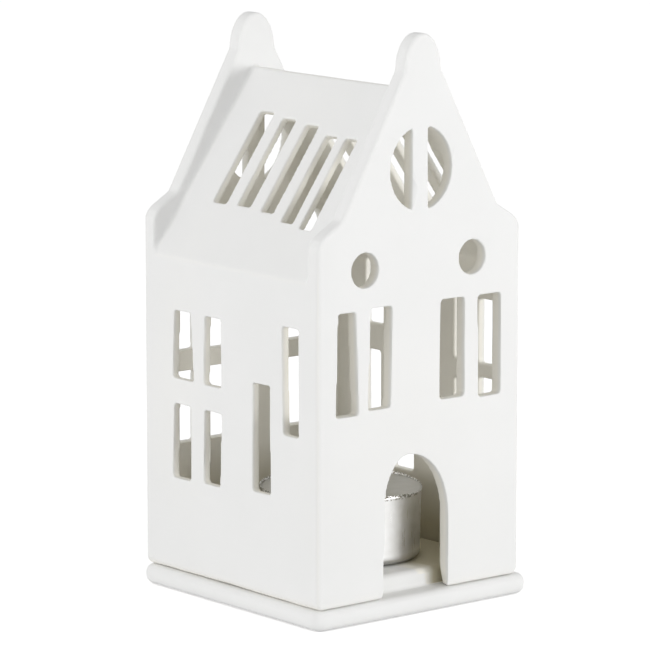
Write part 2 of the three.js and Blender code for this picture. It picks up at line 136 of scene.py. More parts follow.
class FinishGraph:
    """The node tree of one material, added to a node at a time."""

    def __init__(self, name: str) -> None:
        """Starts a tree that has only its output and its shader.

        Args:
            name: The material's name.
        """
        self.material = bpy.data.materials.new(name)
        self.material.use_nodes = True
        self.tree = self.material.node_tree
        self.tree.nodes.clear()
        output = self.add("ShaderNodeOutputMaterial")
        self.shader = self.add("ShaderNodeBsdfPrincipled")
        self.join(self.shader.outputs["BSDF"], output.inputs["Surface"])

    def add(self, kind: str, **settings: object) -> bpy.types.Node:
        """Adds a node.

        Args:
            kind: The node's type name.
            **settings: Properties to set on the node.

        Returns:
            The new node.
        """
        node = self.tree.nodes.new(kind)
        for name, value in settings.items():
            setattr(node, name, value)
        return node

    def join(self, source: bpy.types.NodeSocket, target: bpy.types.NodeSocket) -> None:
        """Links an output to an input."""
        self.tree.links.new(source, target)

    def places(self, grain: Grain = Grain.EVEN) -> bpy.types.NodeSocket:
        """The object's own coordinates, drawn out along the grain.

        Args:
            grain: The way that the marks run.

        Returns:
            A vector output.
        """
        coordinates = self.add("ShaderNodeTexCoord")
        if grain is Grain.EVEN:
            return coordinates.outputs["Object"]
        mapping = self.add("ShaderNodeMapping")
        mapping.inputs["Scale"].default_value = grain.value
        self.join(coordinates.outputs["Object"], mapping.inputs["Vector"])
        return mapping.outputs["Vector"]

    def height(self) -> bpy.types.NodeSocket:
        """The height of the shaded point in the object's own coordinates.

        Returns:
            A value output, in metres.
        """
        parts = self.add("ShaderNodeSeparateXYZ")
        self.join(self.places(), parts.inputs["Vector"])
        return parts.outputs["Z"]

    def around_axis(self) -> bpy.types.NodeSocket:
        """The direction round the piece's upright middle line."""
        return self.add("ShaderNodeTangent", direction_type="RADIAL", axis="Z").outputs["Tangent"]

    def noise(self, speckle: Speckle) -> bpy.types.NodeSocket:
        """Soft random spots.

        Args:
            speckle: Their size, detail and grain.

        Returns:
            The noise's value, from 0 to 1.
        """
        node = self.add("ShaderNodeTexNoise")
        node.inputs["Scale"].default_value = 1.0 / speckle.size
        node.inputs["Detail"].default_value = speckle.detail
        self.join(self.places(speckle.grain), node.inputs["Vector"])
        return node.outputs["Fac"]

    def span(
        self, value: bpy.types.NodeSocket, source: Span, target: Span = RISING
    ) -> bpy.types.NodeSocket:
        """Maps one range of values to another, held at its ends.

        Args:
            value: The value to map.
            source: The range that it is read from.
            target: The range that it is mapped to.

        Returns:
            The mapped value.
        """
        node = self.add("ShaderNodeMapRange", clamp=True)
        node.inputs["From Min"].default_value, node.inputs["From Max"].default_value = source
        node.inputs["To Min"].default_value, node.inputs["To Max"].default_value = target
        self.join(value, node.inputs["Value"])
        return node.outputs["Result"]

    def product(
        self, first: bpy.types.NodeSocket, second: bpy.types.NodeSocket
    ) -> bpy.types.NodeSocket:
        """Multiplies two values.

        Args:
            first: One value.
            second: The other.

        Returns:
            The first times the second.
        """
        node = self.add("ShaderNodeMath", operation="MULTIPLY")
        self.join(first, node.inputs[0])
        self.join(second, node.inputs[1])
        return node.outputs[0]

    def measure(self, attribute: str) -> bpy.types.NodeSocket:
        """A number stored on the mesh.

        Args:
            attribute: The attribute's name.

        Returns:
            The number at the shaded point.
        """
        node = self.add("ShaderNodeAttribute", attribute_name=attribute)
        return node.outputs["Fac"]

    def tint(
        self,
        factor: bpy.types.NodeSocket,
        first: Colour | bpy.types.NodeSocket,
        second: Colour | bpy.types.NodeSocket,
    ) -> bpy.types.NodeSocket:
        """Mixes two colours.

        Args:
            factor: 0 gives the first colour and 1 the second.
            first: A colour or a colour output.
            second: A colour or a colour output.

        Returns:
            The mixed colour.
        """
        node = self.add("ShaderNodeMix", data_type="RGBA")
        self.join(factor, node.inputs["Factor"])
        for number, colour in zip(COLOUR_INPUTS, (first, second)):
            if isinstance(colour, tuple):
                node.inputs[number].default_value = (*colour, 1.0)
            else:
                self.join(colour, node.inputs[number])
        return node.outputs[COLOUR_OUTPUT]

    def relief(
        self,
        height: bpy.types.NodeSocket,
        depth: float,
        below: bpy.types.NodeSocket | None = None,
    ) -> bpy.types.NodeSocket:
        """Fine relief on the surface.

        Args:
            height: The relief's height, from 0 to 1.
            depth: The height of a full step, in metres.
            below: A coarser relief that this one lies on.

        Returns:
            A normal output.
        """
        node = self.add("ShaderNodeBump")
        node.inputs["Strength"].default_value = 1.0
        node.inputs["Distance"].default_value = depth
        self.join(height, node.inputs["Height"])
        if below is not None:
            self.join(below, node.inputs["Normal"])
        return node.outputs["Normal"]

    def dress(self, **sockets: object) -> None:
        """Sets or links the shader's inputs.

        Args:
            **sockets: Input names, with _ for spaces, each with a value or an output.
        """
        for name, value in sockets.items():
            socket = self.shader.inputs[name.replace("_", " ")]
            if isinstance(value, bpy.types.NodeSocket):
                self.join(value, socket)
            elif socket.type == "RGBA":
                socket.default_value = (*value, 1.0)
            else:
                socket.default_value = value


@dataclass(frozen=True)
class Bisque:
    """Matte white ceramic, unglazed. Its inside is painted lighter and warmer than its outside, as
    painted light for the light that bounces round inside the house, and low down inside it is painted
    olive as painted shade.

    Attributes:
        warm_depth: How far through the wall it goes from its outside to its inside colour, the painted
            light.
        painted_shade_depth: How far through the wall the olive painted shade sets in.
        painted_shade_height: The heights between which the olive painted shade fades out upwards.
    """

    name: str = "bisque"
    outside: Colour = (0.866, 0.866, 0.858)
    outside_deep: Colour = (0.852, 0.853, 0.844)
    # Painted light: the inside colours are lighter and warmer than the outside, for the light bounced
    # round inside the house
    inside: Colour = (0.945, 0.926, 0.862)
    inside_deep: Colour = (0.925, 0.905, 0.837)
    warm_depth: Span = (0.0, 0.45)
    # Painted shade: olive, darkening the inside low down where the walls and the candle shade it
    painted_shade_colour: Colour = (0.56, 0.515, 0.38)
    painted_shade_depth: Span = (0.86, 0.98)
    painted_shade_height: Span = (12 * MM, 30 * MM)
    mottle: Speckle = Speckle(22 * MM, 3.0)
    wipes: Speckle = Speckle(3.2 * MM, 2.0, grain=Grain.LEVEL)
    wipe_depth: float = 0.05 * MM
    grit: Speckle = Speckle(0.32 * MM, 3.0)
    grit_depth: float = 0.016 * MM
    roughness: Span = (0.52, 0.66)
    specular: float = 0.3

    def material(self) -> bpy.types.Material:
        """Makes the material.

        Returns:
            The material.
        """
        graph = FinishGraph(self.name)
        mottle = graph.span(graph.noise(self.mottle), self.mottle.used)
        outside = graph.tint(mottle, self.outside, self.outside_deep)
        inside = graph.tint(mottle, self.inside, self.inside_deep)
        depth = graph.measure(DEPTH)
        # Painted light: through the wall the colour goes over to the lighter, warmer inside
        unshaded = graph.tint(graph.span(depth, self.warm_depth), outside, inside)
        # Painted shade: olive deep in the wall, fading out upwards
        painted_shade = graph.product(
            graph.span(depth, self.painted_shade_depth),
            graph.span(graph.height(), self.painted_shade_height, FALLING),
        )
        wiped = graph.relief(graph.noise(self.wipes), self.wipe_depth)
        grit = graph.noise(self.grit)
        graph.dress(
            Base_Color=graph.tint(painted_shade, unshaded, self.painted_shade_colour),
            Roughness=graph.span(grit, GLOSS_SPREAD, self.roughness),
            Normal=graph.relief(grit, self.grit_depth, wiped),
            Specular_IOR_Level=self.specular,
        )
        return graph.material


@dataclass(frozen=True)
class DrawnFoil:
    """Thin aluminium, drawn upwards in a press: its fine upright streaks smear what it mirrors sideways.

    Attributes:
        soot_and_shade_height: The heights between which the soot and the painted shade of the crimps set
            in, just under the rim.
        foot_shade_height: The heights between which the painted shade at the cup's foot fades out upwards.
    """

    name: str = "drawn_foil"
    bright: Colour = (0.95, 0.95, 0.945)
    dull: Colour = (0.86, 0.855, 0.84)
    spots: Speckle = Speckle(4 * MM, 3.0, used=(0.4, 0.7))
    # Soot and painted shade: the crimped rim is darkened, partly as soot and partly standing in for the
    # crimps' shade
    soot_and_shade_colour: Colour = (0.30, 0.285, 0.25)
    soot_and_shade: Speckle = Speckle(0.5 * MM, 2.0, used=(0.46, 0.54))
    soot_and_shade_height: Span = (24.3 * MM, 24.7 * MM)
    # Painted shade: the cup is darker towards its foot, damping the lamp's highlight there
    foot_shade: Colour = (0.60, 0.595, 0.58)
    foot_shade_height: Span = (10.2 * MM, 11.4 * MM)
    streaks: Speckle = Speckle(0.45 * MM, 2.0, grain=Grain.UPRIGHT)
    streak_depth: float = 0.002 * MM
    roughness: Span = (0.27, 0.33)
    anisotropy: float = 0.9

    def material(self) -> bpy.types.Material:
        """Makes the material.

        Returns:
            The material.
        """
        graph = FinishGraph(self.name)
        streaks = graph.noise(self.streaks)
        unshaded = graph.tint(graph.span(graph.noise(self.spots), self.spots.used), self.bright, self.dull)
        # Painted shade towards the cup's foot
        foot_shaded = graph.span(graph.height(), self.foot_shade_height, FALLING)
        # Soot and painted crimp shade, just under the rim
        soot_and_shade = graph.product(
            graph.span(graph.height(), self.soot_and_shade_height),
            graph.span(graph.noise(self.soot_and_shade), self.soot_and_shade.used),
        )
        graph.dress(
            Base_Color=graph.tint(soot_and_shade, graph.tint(foot_shaded, unshaded, self.foot_shade), self.soot_and_shade_colour),
            Metallic=1.0,
            Roughness=graph.span(streaks, GLOSS_SPREAD, self.roughness),
            Anisotropic=self.anisotropy,
            Tangent=graph.around_axis(),
            Normal=graph.relief(streaks, self.streak_depth),
        )
        return graph.material


@dataclass(frozen=True)
class CandleWax:
    """Pressed white paraffin wax: faintly see-through, with a fine crystal mottle. Its colours are a mid
    grey, darker than white wax, as painted shade.

    Attributes:
        glow: The share of the light that passes below the surface.
        glow_radius: How far red, green and blue light spread there, in shares of glow_depth.
        glow_depth: The depth that those shares are of.
    """

    name: str = "candle_wax"
    # Painted shade: the wax is coloured grey, darker than white wax
    pale: Colour = (0.62, 0.61, 0.575)
    cloudy: Colour = (0.585, 0.575, 0.54)
    clouds: Speckle = Speckle(2.4 * MM, 4.0)
    grains: Speckle = Speckle(0.35 * MM, 2.0)
    grain_depth: float = 0.007 * MM
    roughness: Span = (0.42, 0.5)
    glow: float = 0.25
    glow_radius: tuple[float, float, float] = (2.0, 1.6, 1.1)
    glow_depth: float = 1 * MM

    def material(self) -> bpy.types.Material:
        """Makes the material.

        Returns:
            The material.
        """
        graph = FinishGraph(self.name)
        clouds = graph.noise(self.clouds)
        graph.dress(
            Base_Color=graph.tint(graph.span(clouds, self.clouds.used), self.pale, self.cloudy),
            Roughness=graph.span(clouds, GLOSS_SPREAD, self.roughness),
            Subsurface_Weight=self.glow,
            Subsurface_Radius=self.glow_radius,
            Subsurface_Scale=self.glow_depth,
            Normal=graph.relief(graph.noise(self.grains), self.grain_depth),
        )
        return graph.material


@dataclass(frozen=True)
class WaxedCotton:
    """Braided cotton that has been dipped in wax."""

    name: str = "waxed_cotton"
    pale: Colour = (0.82, 0.79, 0.71)
    deep: Colour = (0.62, 0.58, 0.48)
    fibres: Speckle = Speckle(0.12 * MM, 3.0, used=(0.35, 0.7))
    fibre_depth: float = 0.05 * MM
    roughness: float = 0.6
    sheen: float = 0.2

    def material(self) -> bpy.types.Material:
        """Makes the material.

        Returns:
            The material.
        """
        graph = FinishGraph(self.name)
        fibres = graph.noise(self.fibres)
        graph.dress(
            Base_Color=graph.tint(graph.span(fibres, self.fibres.used), self.pale, self.deep),
            Roughness=self.roughness,
            Sheen_Weight=self.sheen,
            Normal=graph.relief(fibres, self.fibre_depth),
        )
        return graph.material


@dataclass(frozen=True)
class TinnedSheet:
    """Thin tinned steel sheet with a rolled grain."""

    name: str = "tinned_sheet"
    bright: Colour = (0.72, 0.715, 0.70)
    dull: Colour = (0.52, 0.515, 0.50)
    rolling: Speckle = Speckle(0.4 * MM, 3.0, used=(0.35, 0.7), grain=Grain.LEVEL)
    rolling_depth: float = 0.015 * MM
    roughness: Span = (0.28, 0.45)

    def material(self) -> bpy.types.Material:
        """Makes the material.

        Returns:
            The material.
        """
        graph = FinishGraph(self.name)
        rolling = graph.noise(self.rolling)
        graph.dress(
            Base_Color=graph.tint(graph.span(rolling, self.rolling.used), self.bright, self.dull),
            Metallic=1.0,
            Roughness=graph.span(rolling, GLOSS_SPREAD, self.roughness),
            Normal=graph.relief(rolling, self.rolling_depth),
        )
        return graph.material


@dataclass(frozen=True)
class Waviness:
    """A slow, repeatable unevenness: a sum of waves that run in random directions.

    Attributes:
        wavelength: About the length of a wave.
        amplitude: About the most that it stands out.
        seed: What its random draws start from.
        waves: How many waves are summed.
        stretch: The shortest and longest wave, in shares of the wavelength.
    """

    wavelength: float
    amplitude: float
    seed: int
    waves: int = 9
    stretch: Span = (0.7, 1.6)

    def at(self, points: np.ndarray) -> np.ndarray:
        """The unevenness at some points.

        Args:
            points: Places, one in each row.

        Returns:
            One number for each place, mostly within the amplitude.
        """
        draw = np.random.default_rng(self.seed)
        total = np.zeros(len(points))
        for _ in range(self.waves):
            direction = draw.normal(size=3)
            direction /= np.linalg.norm(direction)
            length = self.wavelength * draw.uniform(*self.stretch)
            phase = draw.uniform(0, 2 * math.pi)
            total += np.sin(2 * math.pi / length * (points @ direction) + phase)
        usual_sum = math.sqrt(self.waves / 2)
        return self.amplitude * total / usual_sum / 2


def read_points(mesh: bpy.types.Mesh) -> np.ndarray:
    """Reads the vertices of a mesh.

    Args:
        mesh: The mesh.

    Returns:
        Their places, one in each row.
    """
    flat = np.empty(len(mesh.vertices) * 3)
    mesh.vertices.foreach_get("co", flat)
    return flat.reshape(-1, 3)


def read_normals(mesh: bpy.types.Mesh) -> np.ndarray:
    """Reads the vertex normals of a mesh.

    Args:
        mesh: The mesh.

    Returns:
        The normals, one in each row.
    """
    flat = np.empty(len(mesh.vertices) * 3)
    mesh.vertex_normals.foreach_get("vector", flat)
    return flat.reshape(-1, 3)


def write_points(mesh: bpy.types.Mesh, points: np.ndarray) -> None:
    """Puts the vertices of a mesh at new places, one in each row."""
    mesh.vertices.foreach_set("co", points.ravel())
    mesh.update()


def smooth_shading(mesh: bpy.types.Mesh) -> None:
    """Shades every face of a mesh smoothly."""
    mesh.polygons.foreach_set("use_smooth", np.ones(len(mesh.polygons), bool))


def hold_within(points: np.ndarray, low: Vector, high: Vector) -> np.ndarray:
    """Points moved, where they have to be, into a box."""
    return np.clip(points, np.array(low), np.array(high))


def add_object(name: str, mesh: bpy.types.Mesh) -> bpy.types.Object:
    """Puts a mesh into the scene as an object.

    Args:
        name: The object's name.
        mesh: Its mesh.

    Returns:
        The new object.
    """
    made = bpy.data.objects.new(name, mesh)
    bpy.context.scene.collection.objects.link(made)
    return made


def remesh_softly(made: bpy.types.Object, voxel: float, share: float, passes: int) -> None:
    """Puts the modifiers on a piece that give it an even mesh and round its edges a little.

    Args:
        made: The piece.
        voxel: The size of the new mesh's faces.
        share: How far a point moves towards its neighbours at each pass.
        passes: How many times it does.
    """
    remesh = made.modifiers.new("remesh", "REMESH")
    remesh.mode = "VOXEL"
    remesh.voxel_size = voxel
    soften = made.modifiers.new("soften", "SMOOTH")
    soften.factor = share
    soften.iterations = passes


def settle(made: bpy.types.Object) -> None:
    """Applies an object's modifiers to its mesh.

    Args:
        made: The object.
    """
    graph = bpy.context.evaluated_depsgraph_get()
    done = bpy.data.meshes.new_from_object(made.evaluated_get(graph))
    spent = made.data
    made.modifiers.clear()
    made.data = done
    bpy.data.meshes.remove(spent)


def dressed(
    made: bpy.types.Object, material: bpy.types.Material, body: Body, node: str
) -> bpy.types.Object:
    """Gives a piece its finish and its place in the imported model.

    Args:
        made: The piece.
        material: Its finish.
        body: The body that it rides on.
        node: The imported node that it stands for.

    Returns:
        The same piece.
    """
    made.data.materials.clear()
    made.data.materials.append(material)
    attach(made, body.value)
    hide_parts(node)
    return made


@dataclass
class Casting:
    """A slip-cast piece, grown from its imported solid: soft edges, slow warp, then fewer faces.

    Attributes:
        node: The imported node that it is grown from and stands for.
        name: The piece's name.
        body: The body that it rides on.
        finish: Its ceramic.
        weld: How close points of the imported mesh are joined.
        voxel: The size of the even mesh's faces.
        soft_passes: How many times the edges are softened.
        soft_share: How far a point moves towards its neighbours at each pass.
        faces: The most triangles that it keeps.
        flat_rule: How strongly large faces rule the shading, from 1 to 100.
        warp: The slow unevenness of all its faces.
    """

    node: str
    name: str
    body: Body
    finish: Bisque = Bisque()
    weld: float = 0.002 * MM
    voxel: float = 0.34 * MM
    soft_passes: int = 2
    soft_share: float = 0.5
    faces: int = 170_000
    flat_rule: int = 60
    warp: Waviness = Waviness(46 * MM, 0.1 * MM, 3)

    def build(self) -> bpy.types.Object:
        """Makes the piece and dresses it.

        Returns:
            The finished object.
        """
        made = add_object(self.name, self.frame_mesh())
        self.grow(made)
        points = read_points(made.data)
        normals = read_normals(made.data)
        shifted = points + normals * self.shift(points, normals)[:, None]
        write_points(made.data, self.trimmed(hold_within(shifted, *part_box(self.node))))
        self.thin_out(made)
        self.mark_depth(made.data)
        smooth_shading(made.data)
        self.even_out(made)
        return dressed(made, self.finish.material(), self.body, self.node)

    def frame_mesh(self) -> bpy.types.Mesh:
        """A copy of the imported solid's mesh."""
        return bpy.data.objects[self.node].data.copy()

    def grow(self, made: bpy.types.Object) -> None:
        """Remeshes the piece evenly and rounds its edges a little.

        Args:
            made: The object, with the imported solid's mesh.
        """
        weld = made.modifiers.new("weld", "WELD")
        weld.merge_threshold = self.weld
        remesh_softly(made, self.voxel, self.soft_share, self.soft_passes)
        settle(made)

    def shift(self, points: np.ndarray, normals: np.ndarray) -> np.ndarray:
        """How far each point stands out from the true form: here by the warp alone.

        Args:
            points: The piece's points.
            normals: The normal at each point, for the castings that need it.

        Returns:
            One distance for each point.
        """
        return self.warp.at(points)

    def trimmed(self, points: np.ndarray) -> np.ndarray:
        """The points after the last trimming by hand, for which a plain casting needs nothing."""
        return points

    def thin_out(self, made: bpy.types.Object) -> None:
        """Joins faces where the surface is flat, down to the wanted count.

        Args:
            made: The piece.
        """
        now = sum(len(face.vertices) - 2 for face in made.data.polygons)
        if now <= self.faces:
            return
        fewer = made.modifiers.new("fewer", "DECIMATE")
        fewer.ratio = self.faces / now
        settle(made)

    def mark_depth(self, mesh: bpy.types.Mesh) -> None:
        """Stores how deep each point lies below the outer faces.

        Args:
            mesh: The finished mesh.
        """
        depth = self.depth(read_points(mesh))
        attribute = mesh.attributes.new(DEPTH, "FLOAT", "POINT")
        attribute.data.foreach_set("value", depth.astype(np.float32))

    def depth(self, points: np.ndarray) -> np.ndarray:
        """How deep points lie, which the finish paints light and shade by: 0 everywhere for a plain
        casting.
        """
        return np.zeros(len(points))

    def even_out(self, made: bpy.types.Object) -> None:
        """Lets the large faces rule the shading, so that flat walls shade flat.

        Args:
            made: The piece.
        """
        weighted = made.modifiers.new("weighted", "WEIGHTED_NORMAL")
        weighted.keep_sharp = False
        weighted.weight = self.flat_rule


@dataclass(frozen=True)
class DoorTrim:
    """How the sides of the arch were drawn in when the wet door was trimmed. Heights from the foot.

    Attributes:
        crown: Where the arch's middle lies from left to right.
        left: How far the left side is drawn in.
        right: How far the right side is drawn in.
        left_span: The distances from the middle where the left side's trimming starts, is full,
            is still full and ends.
        right_span: The same for the right side.
        left_rise: The same for the left side, as heights.
        right_rise: The same for the right side.
        reach: How deep into the house the trimming goes.
        flare: How far the right side widens inwards at its foot.
        flare_rise: The height at which that widening ends.
        flare_curve: How quickly it grows towards the foot.
    """

    crown: float = -4.2 * MM
    left: float = 0.42 * MM
    right: float = 0.36 * MM
    left_span: tuple[float, ...] = (0.0, 5 * MM, 9.5 * MM, 14 * MM)
    right_span: tuple[float, ...] = (0.0, 5 * MM, 13.5 * MM, 18 * MM)
    left_rise: tuple[float, ...] = (8 * MM, 13 * MM, 30 * MM, 36 * MM)
    right_rise: tuple[float, ...] = (-2 * MM, -1 * MM, 24 * MM, 36 * MM)
    reach: float = 4 * MM
    flare: float = 1.2 * MM
    flare_rise: float = 5.5 * MM
    flare_curve: float = 1.5

    def applied(self, points: np.ndarray, low: np.ndarray, wall: float) -> np.ndarray:
        """Moves the points of the front gable beside the door.

        Args:
            points: The shell's points.
            low: The lowest corner of the shell's box.
            wall: The gable's thickness.

        Returns:
            The moved points.
        """
        height = points[:, 2] - low[2]
        inwards = points[:, 1] - low[1]
        away = points[:, 0] - self.crown
        hump = (0, 1, 1, 0)
        beside_left = np.interp(-away, self.left_span, hump)
        beside_right = np.interp(away, self.right_span, hump)
        left = self.left * beside_left * np.interp(height, self.left_rise, hump)
        right = self.right * beside_right * np.interp(height, self.right_rise, hump)
        low_down = np.clip(1 - height / self.flare_rise, 0, 1) ** self.flare_curve
        flare = self.flare * low_down * np.clip(inwards / wall, 0, 1) * beside_right
        moved = points.copy()
        moved[:, 0] += np.where(inwards < self.reach, left - right + flare, 0)
        return moved


@dataclass(frozen=True)
class RoofRib:
    """A strip of the roof slab beside the rear gable, where the split window's cut left it paper-thin.

    Attributes:
        start: Where it starts below the ridge, down the slope.
        end: Where it ends.
        reach: How far it goes from the gable along the ridge.
        overlap: How far it goes into the gable.
        skin: How far it lies below the slab's outer face.
    """

    start: float = 9 * MM
    end: float = 23 * MM
    reach: float = 4.3 * MM
    overlap: float = 0.2 * MM
    skin: float = 0.02 * MM

    def added(
        self, mesh: bpy.types.Mesh, ridge: Vector, down: Vector, inwards: Vector, wall: float
    ) -> None:
        """Adds the strip to a mesh as a closed block.

        Args:
            mesh: The shell's mesh.
            ridge: The point of the ridge at the gable's inner face.
            down: The direction down the slope.
            inwards: The direction from the slope's outer face into the house.
            wall: The roof slab's thickness.
        """
        along = Vector((0, 1, 0))
        shape = bmesh.new()
        shape.from_mesh(mesh)
        corners = [
            shape.verts.new(ridge + down * run + inwards * sink + along * place)
            for run in (self.start, self.end)
            for sink in (self.skin, wall)
            for place in (-self.reach, self.overlap)
        ]
        made = [shape.faces.new([corners[number] for number in side]) for side in BLOCK_SIDES]
        bmesh.ops.recalc_face_normals(shape, faces=made)
        shape.to_mesh(mesh)
        shape.free()


@dataclass
class HouseShell(Casting):
    """The hollow house: four walls, a slotted roof and two stepped gables. Heights from its foot.

    Attributes:
        eave: The height at which the roof's slopes meet the side walls.
        ridge: The height at which they meet each other.
        side_wall: The thickness of the side walls.
        gable_wall: The thickness of the gables.
        roof_wall: The thickness of the roof slabs.
        corner_radius: The rounding of the upright corners.
        foot_sag: How far the foot's outer edge sinks towards the plate.
        foot_round: The height over which the foot is worn round.
        foot_tuck: How far the foot's outer faces are drawn in.
        tuck_reach: How deep in the wall that drawing in ends.
        door: The trimming of the door's sides.
        rib: The strip that makes the right slope whole.
        cut: The quicker waves along the hand-cut edges.
        rough_start: How far a face turns from the wall's own face where those waves begin.
        rough_full: How far it does where they are full.
    """

    node: str = "house_shell"
    name: str = "house_casting"
    body: Body = Body.HOUSE
    eave: float = 73.6 * MM
    ridge: float = 116 * MM
    side_wall: float = 2.1 * MM
    gable_wall: float = 3.1 * MM
    roof_wall: float = 1.9 * MM
    corner_radius: float = 1.15 * MM
    foot_sag: float = 0.16 * MM
    foot_round: float = 3.2 * MM
    foot_tuck: float = 0.3 * MM
    tuck_reach: float = 1.2 * MM
    door: DoorTrim = DoorTrim()
    rib: RoofRib = RoofRib()
    cut: Waviness = Waviness(11 * MM, 0.06 * MM, 11)
    rough_start: float = 0.12
    rough_full: float = 0.45

    def frame_mesh(self) -> bpy.types.Mesh:
        """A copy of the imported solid's mesh, with the thin strip of the right slope made whole.

        Returns:
            The mesh.
        """
        mesh = super().frame_mesh()
        low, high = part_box(self.node)
        half = (high.x - low.x) / 2
        down = Vector((half, 0, self.eave - self.ridge)).normalized()
        inwards = Vector((down.z, 0, -down.x))
        ridge = Vector(((low.x + high.x) / 2, high.y - self.gable_wall, low.z + self.ridge))
        self.rib.added(mesh, ridge, down, inwards, self.roof_wall)
        return mesh

    def outer_planes(self) -> list[tuple[Vector, Vector]]:
        """The outer faces: left, right, front and rear wall, then left and right slope.

        Returns:
            A point on each face and the face's outward normal.
        """
        low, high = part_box(self.node)
        middle = (low + high) / 2
        half = (high.x - low.x) / 2
        run = Vector((half, 0, self.ridge - self.eave)).normalized()
        eave = low.z + self.eave
        return [
            (Vector((low.x, 0, 0)), Vector((-1, 0, 0))),
            (Vector((high.x, 0, 0)), Vector((1, 0, 0))),
            (Vector((0, low.y, 0)), Vector((0, -1, 0))),
            (Vector((0, high.y, 0)), Vector((0, 1, 0))),
            (Vector((low.x, middle.y, eave)), Vector((-run.z, 0, run.x))),
            (Vector((high.x, middle.y, eave)), Vector((run.z, 0, run.x))),
        ]

    def sink(self, points: np.ndarray) -> tuple[np.ndarray, np.ndarray]:
        """How far points lie through the wall of the nearest outer face, and which face that is.

        Args:
            points: The piece's points.

        Returns:
            The distances as shares of the wall's thickness, and the outward normals of the faces.
        """
        planes = self.outer_planes()
        walls = np.array([self.side_wall] * 2 + [self.gable_wall] * 2 + [self.roof_wall] * 2)
        away = np.stack([(np.array(place) - points) @ np.array(normal) for place, normal in planes])
        nearest = away.argmin(axis=0)
        normals = np.array([normal for _, normal in planes])
        return away.min(axis=0) / walls[nearest], normals[nearest]

    def shift(self, points: np.ndarray, normals: np.ndarray) -> np.ndarray:
        """Slow warp all over, and quicker waves along the hand-cut edges of the openings.

        Args:
            points: The piece's points.
            normals: The normal at each point.

        Returns:
            One distance for each point.
        """
        _, faces = self.sink(points)
        across = 1 - np.abs((normals * faces).sum(axis=1))
        cut_share = np.clip((across - self.rough_start) / (self.rough_full - self.rough_start), 0, 1)
        return self.warp.at(points) + cut_share * self.cut.at(points)

    def trimmed(self, points: np.ndarray) -> np.ndarray:
        """Trims the door, then rounds the corners and the foot.

        Args:
            points: The piece's points.

        Returns:
            The moved points.
        """
        low, high = (np.array(corner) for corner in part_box(self.node))
        return self.rounded(self.door.applied(points, low, self.gable_wall), low, high)

    def rounded(self, points: np.ndarray, low: np.ndarray, high: np.ndarray) -> np.ndarray:
        """Rounds the upright corners, draws the foot in and lets it sag onto the plate.

        Args:
            points: The piece's points.
            low: The lowest corner of its box.
            high: The highest corner of its box.

        Returns:
            The moved points.
        """
        middle = (low + high)[:2] / 2
        half = (high - low)[:2] / 2
        sides = np.sign(points[:, :2] - middle)
        low_down = np.clip(1 - (points[:, 2] - low[2]) / self.foot_round, 0, 1)
        inset = half - np.abs(points[:, :2] - middle)
        outermost = np.clip(1 - inset / self.tuck_reach, 0, 1)
        inset = inset + self.foot_tuck * outermost * (low_down**2)[:, None]
        towards = inset - self.corner_radius
        reach = np.linalg.norm(towards, axis=1)
        beyond = (towards < 0).all(axis=1) & (reach > self.corner_radius)
        shrink = self.corner_radius / np.maximum(reach, self.corner_radius)
        pulled = self.corner_radius + towards * shrink[:, None]
        inset = np.where(beyond[:, None], pulled, inset)
        height = points[:, 2] - self.foot_sag * low_down**4
        return np.column_stack([middle + sides * (half - inset), height])

    def depth(self, points: np.ndarray) -> np.ndarray:
        """0 on the outside, rising through each opening to 1 on the inside."""
        through, _ = self.sink(points)
        return np.clip(through, 0, 1)


